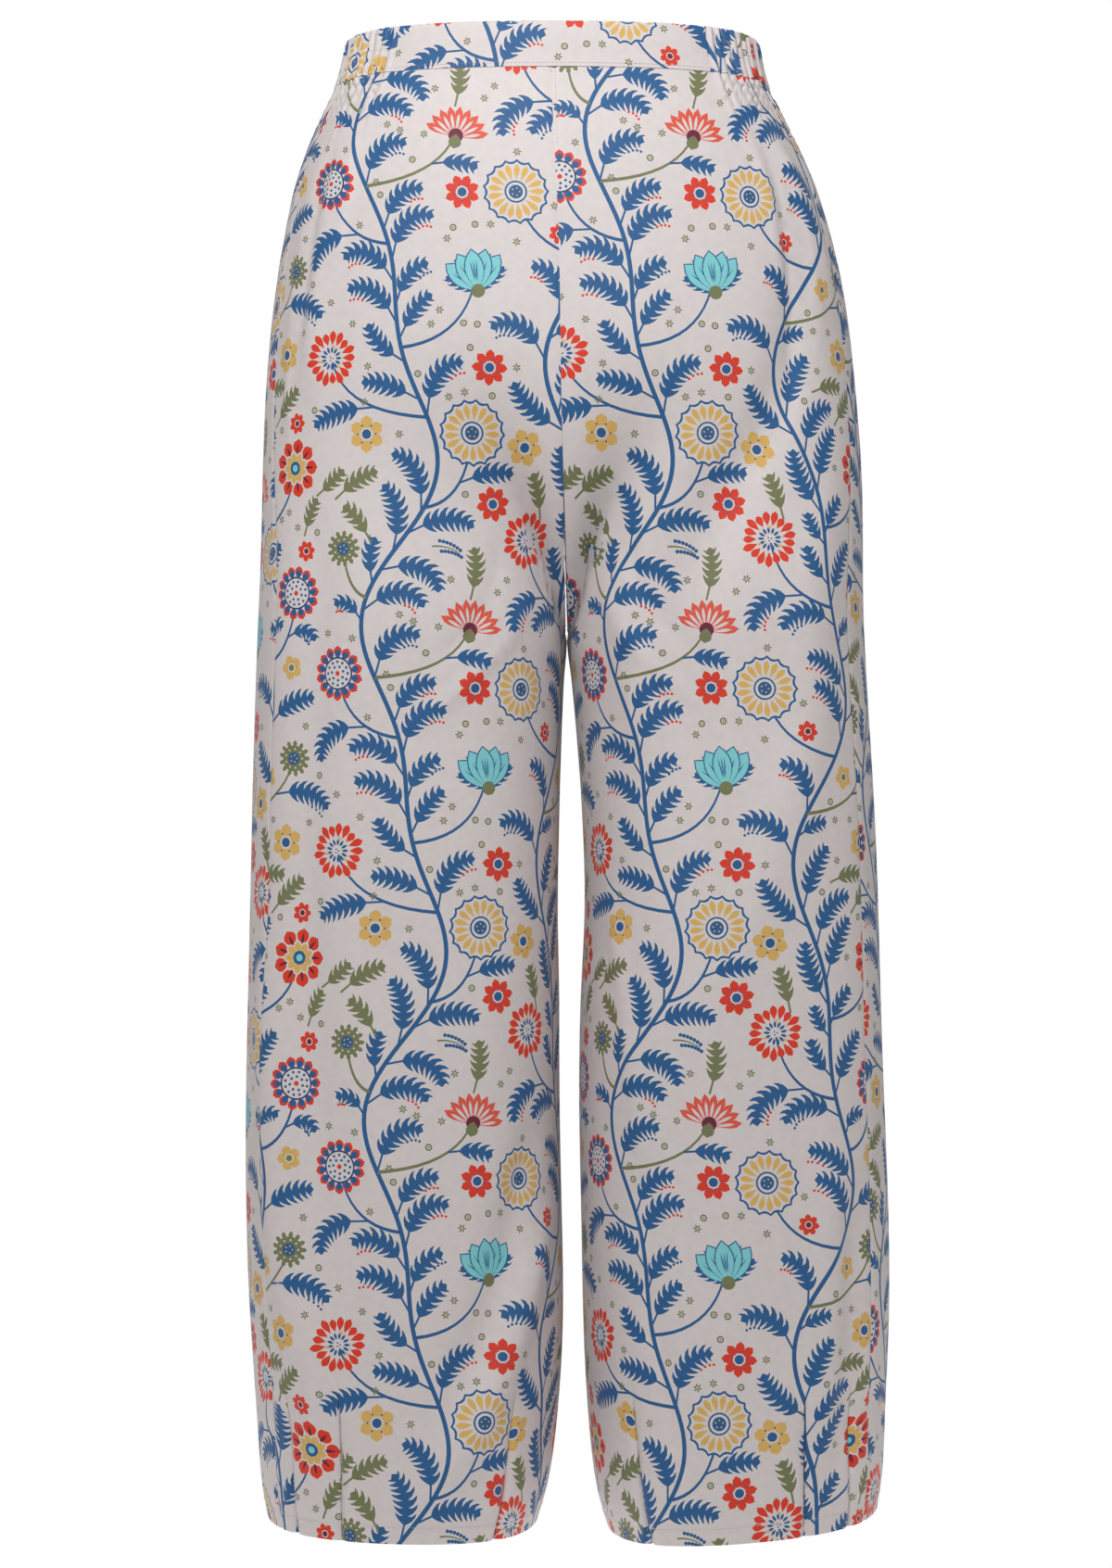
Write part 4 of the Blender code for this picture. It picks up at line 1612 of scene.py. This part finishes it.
def panel_shell(panel: Panel, repeat: Repeat) -> Shell:
    """The printed shell of a leg panel.

    Args:
        panel: the Panel.
        repeat: the print's Repeat.

    Returns:
        The Shell.
    """
    downs = spread(SIZES.band_height, SIZES.hem, 0.006)
    inner, outer = panel.edges(downs)
    top = spread(inner[0], outer[0], GATHER_STEP)
    foot = spread(inner[-1], outer[-1], 0.004)
    outline = ([(u, downs[0]) for u in top] + list(zip(outer[1:], downs[1:]))
               + [(u, downs[-1]) for u in foot[::-1][1:]]
               + list(zip(inner[::-1][1:-1], downs[::-1][1:-1])))
    cutter = Cutter(np.array(outline))
    cutter.add_points(panel_points(panel))
    begin = SIZES.hem - SIZES.tuck_height - SIZES.tuck_fade + 0.004
    depths = spread(begin, SIZES.hem, 0.005)
    for start, end, _ in panel.tuck_starts(depths):
        for line in (start, (start + end) / 2, end):
            cutter.add_line(list(zip(line, depths)))
        for aside in (0.0010, 0.0028):
            cutter.add_points(list(zip(start - aside, depths))[:-1])
            cutter.add_points(list(zip(end + aside, depths))[:-1])
    cutter.add_print(repeat.shapes(), panel.handed, panel.print_shift,
                     (Repeat.WIDTH, Repeat.HEIGHT))
    return Shell(f"cloth_{panel.name}", panel.laid, cutter)


class Band:
    """A stretch of the waistband: cloth folded over the top, from seam to seam.

    Places round the waist run from 0 at the centre front over the wearer's left to 1
    at the centre back, and on over the right to 2.
    """

    TOP_RADIUS = 0.0015
    PROUD = 0.0004

    def __init__(self, name: str, surfaces: dict[Side, LegSurface], first: float,
                 last: float) -> None:
        """Measures the stretch.

        Args:
            name: the band's node name.
            surfaces: the LegSurface of each Side.
            first: its first place round the waist.
            last: its last place.
        """
        self.name, self.surfaces = name, surfaces
        self.places = np.linspace(first, last, 2401)
        line = self.on_ring(self.places, np.full(2401, SIZES.band_height * 0.6),
                            np.zeros(2401))
        steps = np.linalg.norm(np.diff(line, axis=0), axis=1)
        self.us = np.concatenate([[0], np.cumsum(steps)])
        self.us -= np.interp((first + last) / 2, self.places, self.us)
        self.turn = SIZES.band_height - self.TOP_RADIUS
        self.arc = math.pi * self.TOP_RADIUS
        self.low = -(self.arc - self.TOP_RADIUS) - self.turn - 0.0024

    def on_ring(self, places: Array, down: Array, out: Array) -> Array:
        """Points of the band's cloth.

        Args:
            places: places round the waist.
            down: depths below the top edge.
            out: distances out from the band's surface.

        Returns:
            Their points.
        """
        signed = (places + 1) % 2 - 1
        found = np.empty((len(places), 3))
        for side, surface in self.surfaces.items():
            mine = signed >= 0 if side is Side.LEFT else signed < 0
            t, depth = np.abs(signed[mine]), down[mine]
            level = np.maximum(depth, 0.0)
            gather = surface.gather_height(t, np.full_like(t, SIZES.band_height))
            gather *= 0.62 + 0.38 * smoothstep(level / 0.010)
            away = surface.normals(t, np.maximum(level, 0.002))
            point = surface.plain(t, depth)
            found[mine] = point + away * (out[mine] + gather)[:, None]
        return found

    def laid(self, u: Array, v: Array) -> Array:
        """Points of the flat band as they lie round the waist.

        Args:
            u: places along the band.
            v: their places from the seam, over 0 at the top, to the inside.

        Returns:
            Their points on the cloth's outer face.
        """
        radius, height = self.TOP_RADIUS, SIZES.band_height
        turn = np.clip((radius - v) / self.arc, 0, 1)
        inside = np.maximum(radius - v - self.arc, 0.0)
        floor = np.maximum(inside - self.turn, 0.0)
        down = np.where(v > radius, v, radius * (1 - np.sin(math.pi * turn)))
        down = np.where(turn >= 1, radius + np.minimum(inside, self.turn), down)
        out = -radius * (1 - np.cos(math.pi * turn)) + floor
        bulge = SIZES.band_bulge * np.sin(math.pi * np.clip(v / height, 0, 1))
        places = np.interp(u, self.us, self.places)
        ledge = self.PROUD * smoothstep((v - 0.020) / 0.010)
        return self.on_ring(places, down, out + bulge + ledge)


def band_shell(band: Band, repeat: Repeat, shift: Pair,
               gathered: bool) -> tuple[Shell, float, float]:
    """The printed shell of a stretch of the waistband.

    Args:
        band: the Band.
        repeat: the print's Repeat.
        shift: where it lies on the print, as (x, y).
        gathered: True where the elastic gathers it.

    Returns:
        (the Shell, its flat width, its flat height).
    """
    left, right = float(band.us[0]), float(band.us[-1])
    low, high = band.low, SIZES.band_height - 0.0001
    step = BAND_STEP if gathered else 0.005
    columns = spread(left, right, step)
    rows = spread(low, high, 0.0034)
    outline = ([(u, high) for u in columns] + [(right, v) for v in rows[::-1][1:]]
               + [(u, low) for u in columns[::-1][1:]] + [(left, v) for v in rows[1:-1]])
    cutter = Cutter(np.array(outline))
    turns = spread(-3.2 * MM, 1.5 * MM, 0.8 * MM)
    levels = np.concatenate([rows[1:-1], turns, [low + 0.0024, high - 0.0015]])
    for v in levels:
        cutter.add_points([(u, v) for u in columns[1:-1]])
    cutter.add_print(repeat.shapes(), 1, shift, (Repeat.WIDTH, Repeat.HEIGHT))
    return Shell(f"cloth_{band.name}", band.laid, cutter), right - left, high - low


# ---------------------------------------------------------------- stitching
class Stitching:
    """Rows of small machine stitches on the cloth."""

    PITCH = 0.0027
    HALF_LENGTH = 0.0010
    HALF_WIDTH = 0.00021
    LIFT = 0.0001

    def __init__(self, name: str) -> None:
        """Starts without a stitch.

        Args:
            name: the piece's name.
        """
        self.name = name
        self.points: list[Array] = []
        self.faces: list[tuple[int, int, int]] = []

    def row(self, path: Array, lift: Array) -> None:
        """Stitches along a path.

        Args:
            path: its points, in rows of x, y, z.
            lift: the outward directions at them.
        """
        steps = np.linalg.norm(np.diff(path, axis=0), axis=1)
        run = np.concatenate([[0], np.cumsum(steps)])
        for middle in np.arange(self.PITCH / 2, run[-1], self.PITCH):
            ends = [np.array([np.interp(place, run, path[:, k]) for k in range(3)])
                    for place in (middle - self.HALF_LENGTH, middle + self.HALF_LENGTH)]
            up = unit(np.array([np.interp(middle, run, lift[:, k]) for k in range(3)]))
            along = unit(ends[1] - ends[0])
            across = unit(np.cross(up, along))
            centre = (ends[0] + ends[1]) / 2
            width = self.HALF_WIDTH
            start = len(self.points)
            self.points += [ends[0], centre + across * width, centre + up * width * 1.5,
                            centre - across * width, centre - up * width, ends[1]]
            for k in range(4):
                a, b = start + 1 + k, start + 1 + (k + 1) % 4
                self.faces += [(start, a, b), (start + 5, b, a)]

    def build(self, material: bpy.types.Material) -> bpy.types.Object:
        """The stitches as one linked object.

        Args:
            material: the thread's material.

        Returns:
            The object.
        """
        mesh = bpy.data.meshes.new(self.name)
        mesh.from_pydata([tuple(p) for p in self.points], [], self.faces)
        mesh.update()
        mesh.materials.append(material)
        piece = bpy.data.objects.new(self.name, mesh)
        bpy.context.scene.collection.objects.link(piece)
        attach(piece, "root")
        return piece


def stitch_line(panel: Panel, stitching: Stitching, us: Sequence[float],
                vs: Sequence[float]) -> None:
    """Stitches a row over a panel.

    Args:
        panel: the Panel.
        stitching: the Stitching that the row joins.
        us: the row's places across the flat cloth.
        vs: their depths.
    """
    us, vs = np.asarray(us, dtype=float), np.asarray(vs, dtype=float)
    step = Layer.STEP
    points = panel.laid(us, vs)
    normal = unit(np.cross(panel.laid(us + step, vs) - panel.laid(us - step, vs),
                           panel.laid(us, vs + step) - panel.laid(us, vs - step)))
    _, out = panel.surface.points(np.clip(panel.places(us, vs), 0, 1), vs,
                                  panel.first, panel.last)
    flip = np.sign(np.einsum("ij,ij->i", normal, out))
    normal = normal * flip[:, None]
    stitching.row(points + normal * Stitching.LIFT, normal)


def stitch_panels(panels: list[Panel], material: bpy.types.Material) -> None:
    """Hem rows, tuck rows and edge rows of the panels.

    Args:
        panels: the four Panels.
        material: the thread's material.
    """
    hems, tucks, seams = (Stitching(name) for name in
                          ("stitches_hem", "stitches_tucks", "stitches_seams"))
    for panel in panels:
        depth = SIZES.hem - 0.011
        bounds = [float(x) for x in panel.edges(depth)]
        stops = [bounds[0] + 0.0015]
        for start, end, _ in panel.tuck_starts(np.array([depth])):
            stops += [float(start[0]) - 0.001, float(end[0]) + 0.001]
        stops.append(bounds[1] - 0.0015)
        for low, high in zip(stops[::2], stops[1::2]):
            us = spread(low, high, 0.004)
            stitch_line(panel, hems, us, np.full(len(us), depth))
        depths = spread(SIZES.hem - SIZES.tuck_height, SIZES.hem - 0.002, 0.003)
        for start, _, _ in panel.tuck_starts(depths):
            stitch_line(panel, tucks, start - 0.0012, depths)
        if panel.front:
            depths = spread(SIZES.band_height + 0.002, 0.083, 0.003)
            inner, _ = panel.edges(depths)
            if panel.surface.side is Side.LEFT:
                stitch_line(panel, seams, inner + 0.0022, depths)
    for stitching in (hems, tucks, seams):
        stitching.build(material)


def stitch_bands(bands: list[Band], material: bpy.types.Material) -> None:
    """Edge rows along the waist seam, and the elastic's row through the casing.

    Args:
        bands: the front Band and the gathered one.
        material: the thread's material.
    """
    stitching = Stitching("stitches_waistband")
    for band, levels in zip(bands, ((0.0285,), (0.0285, 0.0150))):
        for level in levels:
            us = spread(band.us[0] + 0.001, band.us[-1] - 0.001, BAND_STEP)
            vs = np.full(len(us), level)
            step = Layer.STEP
            points = band.laid(us, vs)
            out = unit(np.cross(band.laid(us, vs + step) - band.laid(us, vs - step),
                                band.laid(us + step, vs) - band.laid(us - step, vs)))
            stitching.row(points + out * Stitching.LIFT, out)
    stitching.build(material)


# ---------------------------------------------------------------- materials
class Shade:
    """A shader socket that can be added to and multiplied like a number."""

    def __init__(self, tree: bpy.types.NodeTree, socket: bpy.types.NodeSocket) -> None:
        """Takes hold of an output socket.

        Args:
            tree: the node tree.
            socket: the socket.
        """
        self.tree, self.socket = tree, socket

    def _math(self, operation: str, other: "Shade | float") -> "Shade":
        """A maths node's output.

        Args:
            operation: the node's operation.
            other: its second input.

        Returns:
            The output, as a Shade.
        """
        node = self.tree.nodes.new("ShaderNodeMath")
        node.operation = operation
        self.tree.links.new(self.socket, node.inputs[0])
        if isinstance(other, Shade):
            self.tree.links.new(other.socket, node.inputs[1])
        else:
            node.inputs[1].default_value = other
        return Shade(self.tree, node.outputs[0])

    def __add__(self, other: "Shade | float") -> "Shade":
        """The sum."""
        return self._math("ADD", other)

    def __mul__(self, other: "Shade | float") -> "Shade":
        """The product."""
        return self._math("MULTIPLY", other)


@dataclass(frozen=True)
class ClothFinish:
    """How a cloth face looks.

    Attributes:
        shadow: how much of the print's blue shows through in blotches, 0 to 1.
        roughness: its roughness.
        weave: the height of its weave's bumps, in metres.
        sheen: the strength of its soft sheen.
    """

    shadow: float
    roughness: float
    weave: float
    sheen: float


FACE = ClothFinish(shadow=0.0, roughness=0.58, weave=0.00006, sheen=0.12)
REVERSE = ClothFinish(shadow=0.32, roughness=0.70, weave=0.00006, sheen=0.05)


class ClothMaterial:
    """The printed viscose, woven and softly shining."""

    def __init__(self, name: str, finish: ClothFinish) -> None:
        """Makes the material.

        Args:
            name: its name.
            finish: its ClothFinish.
        """
        self.material = bpy.data.materials.new(name)
        self.material.use_nodes = True
        self.tree = self.material.node_tree
        self.shader = self.tree.nodes["Principled BSDF"]
        self.finish = finish
        self.colour()
        self.weave()
        self.shader.inputs["Roughness"].default_value = finish.roughness
        self.shader.inputs["Sheen Weight"].default_value = finish.sheen
        self.shader.inputs["Sheen Roughness"].default_value = 0.4
        self.shader.inputs["Specular IOR Level"].default_value = 0.35

    def node(self, kind: str, **settings: object) -> bpy.types.Node:
        """A new node.

        Args:
            kind: its type.
            settings: the properties to set.

        Returns:
            The node.
        """
        made = self.tree.nodes.new(kind)
        for key, value in settings.items():
            setattr(made, key, value)
        return made

    def texture(self, kind: str, scale: float, **settings: object) -> bpy.types.Node:
        """A texture node on the flat cloth's places.

        Args:
            kind: its type.
            scale: how many of its cells a metre takes.
            settings: the properties to set.

        Returns:
            The node.
        """
        places = self.node("ShaderNodeUVMap", uv_map="cloth")
        made = self.node(kind, **settings)
        made.inputs["Scale"].default_value = scale
        self.tree.links.new(places.outputs["UV"], made.inputs["Vector"])
        return made

    def colour(self) -> None:
        """The print, unevenly inked, or the reverse with its faint shadow."""
        inked = self.node("ShaderNodeAttribute", attribute_name="print")
        cloudy = self.texture("ShaderNodeTexNoise", 160.0)
        cloudy.inputs["Detail"].default_value = 3.0
        tone = Shade(self.tree, cloudy.outputs["Fac"]) * 0.16 + 0.92
        toned = self.node("ShaderNodeVectorMath", operation="SCALE")
        self.tree.links.new(inked.outputs["Color"], toned.inputs[0])
        self.tree.links.new(tone.socket, toned.inputs["Scale"])
        blotches = self.texture("ShaderNodeTexVoronoi", 55.0, feature="SMOOTH_F1")
        shadow = Shade(self.tree, blotches.outputs["Distance"]) * self.finish.shadow
        mix = self.node("ShaderNodeMix", data_type="RGBA")
        self.tree.links.new(shadow.socket, mix.inputs["Factor"])
        self.tree.links.new(toned.outputs[0], mix.inputs[6])
        mix.inputs[7].default_value = Ink.BLUE.linear()
        self.tree.links.new(mix.outputs[2], self.shader.inputs["Base Color"])

    def weave(self) -> None:
        """A fine plain weave with slubs, as a bump."""
        warp = self.texture("ShaderNodeTexWave", 420.0, bands_direction="X")
        weft = self.texture("ShaderNodeTexWave", 420.0, bands_direction="Y")
        slubs = self.texture("ShaderNodeTexNoise", 900.0)
        height = (Shade(self.tree, warp.outputs["Fac"])
                  + Shade(self.tree, weft.outputs["Fac"])
                  + Shade(self.tree, slubs.outputs["Fac"]) * 1.2)
        bump = self.node("ShaderNodeBump")
        bump.inputs["Strength"].default_value = 0.35
        bump.inputs["Distance"].default_value = self.finish.weave
        self.tree.links.new(height.socket, bump.inputs["Height"])
        self.tree.links.new(bump.outputs["Normal"], self.shader.inputs["Normal"])


def plain_material(name: str, colour: tuple[float, float, float],
                   roughness: float) -> bpy.types.Material:
    """A plain material.

    Args:
        name: its name.
        colour: its colour in linear light.
        roughness: its roughness.

    Returns:
        The material.
    """
    material = bpy.data.materials.new(name)
    material.use_nodes = True
    shader = material.node_tree.nodes["Principled BSDF"]
    shader.inputs["Base Color"].default_value = (*colour, 1.0)
    shader.inputs["Roughness"].default_value = roughness
    return material


# ---------------------------------------------------------------- the garment
PRINT_SHIFTS = {
    "front_left": (0.118, 0.0),
    "front_right": (0.060, 0.0),
    "back_left": (0.020, 0.110),
    "back_right": (0.150, 0.230),
    "waistband_front": (0.090, 0.200),
    "waistband_back": (0.040, 0.070),
}


def dress(shell: Shell, node: str, area: float | None,
          materials: Materials) -> None:
    """Builds a shell and ties it to the frame.

    Args:
        shell: the Shell.
        node: the CAD node it stands for.
        area: the cut's area in square metres, or None where it is a rectangle; not used.
        materials: the face's and the reverse's material.
    """
    piece = shell.build(*materials)
    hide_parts(node)
    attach(piece, "root")


def build_garment(repeat: Repeat, materials: Materials, thread: bpy.types.Material) -> None:
    """The leg panels, the waistband and the stitching.

    Args:
        repeat: the print's Repeat.
        materials: the face's and the reverse's material.
        thread: the thread's material.
    """
    surfaces = {side: LegSurface(side) for side in Side}
    panels = []
    for surface in surfaces.values():
        for front in (True, False):
            panel = Panel(surface, front, (0.0, 0.0))
            panel.print_shift = PRINT_SHIFTS[panel.name]
            panels.append(panel)
            inner, outer = panel.edges(panel.levels)
            cut = (float(outer.max() - inner.min()), SIZES.hem - SIZES.band_height)
            dress(panel_shell(panel, repeat), panel.name,
                  flat_area(panel), materials)
    turn = surfaces[Side.LEFT].elastic_t
    bands = [Band("waistband_front", surfaces, -turn, turn),
             Band("waistband_back", surfaces, turn, 2 - turn)]
    for band in bands:
        shell, width, height = band_shell(band, repeat, PRINT_SHIFTS[band.name],
                                          band is bands[1])
        dress(shell, band.name, None, materials)
    stitch_panels(panels, thread)
    stitch_bands(bands, thread)


# ---------------------------------------------------------------- studio
@dataclass(frozen=True)
class Lamp:
    """A soft lamp of the studio."""

    name: str
    place: tuple[float, float, float]
    size: float
    power: float


LAMPS = (
    Lamp("key", (-0.35, -1.6, 1.1), 0.8, 31.0),
    Lamp("fill", (1.6, -2.2, 0.5), 1.4, 8.0),
)
AIM = Vector((0.0, 0.0, -0.45))


def build_floor() -> None:
    """A pale floor under the garment, below what the camera sees."""
    floor, front, back, half_width = -1.12, -0.2, 0.5, 3.0
    points = [(-half_width, front, floor), (half_width, front, floor),
              (half_width, back, floor), (-half_width, back, floor)]
    mesh = bpy.data.meshes.new("floor")
    mesh.from_pydata(points, [], [(0, 1, 2, 3)])
    mesh.update()
    pale = plain_material("pale_floor", (0.90, 0.90, 0.90), 0.85)
    shader = pale.node_tree.nodes["Principled BSDF"]
    shader.inputs["Emission Color"].default_value = (1.0, 1.0, 1.0, 1.0)
    shader.inputs["Emission Strength"].default_value = 0.62
    mesh.materials.append(pale)
    piece = bpy.data.objects.new("floor", mesh)
    bpy.context.scene.collection.objects.link(piece)


def build_lights() -> None:
    """The even light of a white room, brighter where it is seen, and the soft lamps."""
    world = bpy.data.worlds.new("studio")
    bpy.context.scene.world = world
    world.use_nodes = True
    sky = world.node_tree.nodes["Background"]
    sky.inputs["Color"].default_value = (1.0, 1.0, 1.0, 1.0)
    path = world.node_tree.nodes.new("ShaderNodeLightPath")
    seen = Shade(world.node_tree, path.outputs["Is Camera Ray"]) * 0.72 + 0.28
    world.node_tree.links.new(seen.socket, sky.inputs["Strength"])
    for lamp in LAMPS:
        light = bpy.data.lights.new(lamp.name, "AREA")
        light.energy, light.size = lamp.power, lamp.size
        thing = bpy.data.objects.new(lamp.name, light)
        thing.location = lamp.place
        away = AIM - thing.location
        thing.rotation_euler = away.to_track_quat("-Z", "Y").to_euler()
        bpy.context.scene.collection.objects.link(thing)


def build_camera() -> None:
    """The camera, level with the middle of the garment as the photograph has it."""
    camera = bpy.data.cameras.new("camera")
    camera.sensor_fit = "VERTICAL"
    camera.sensor_width = camera.sensor_height = 36
    camera.lens = 85.2
    eye = bpy.data.objects.new("camera", camera)
    eye.location = (0.0025, -2.5, -0.4812)
    eye.rotation_euler = (math.radians(90), 0, 0)
    bpy.context.scene.collection.objects.link(eye)
    bpy.context.scene.camera = eye


def main() -> None:
    """Builds the dressed trousers in the frame."""
    logging.basicConfig(level=logging.INFO, format="%(name)s: %(message)s")
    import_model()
    materials = (ClothMaterial("printed_viscose", FACE).material,
                 ClothMaterial("printed_viscose_reverse", REVERSE).material)
    thread = plain_material("thread", (0.66, 0.63, 0.60), 0.6)
    build_garment(Repeat(7), materials, thread)
    build_floor()
    build_lights()
    build_camera()
    bpy.context.scene.view_settings.view_transform = "Standard"


if __name__ == "__main__":
    main()
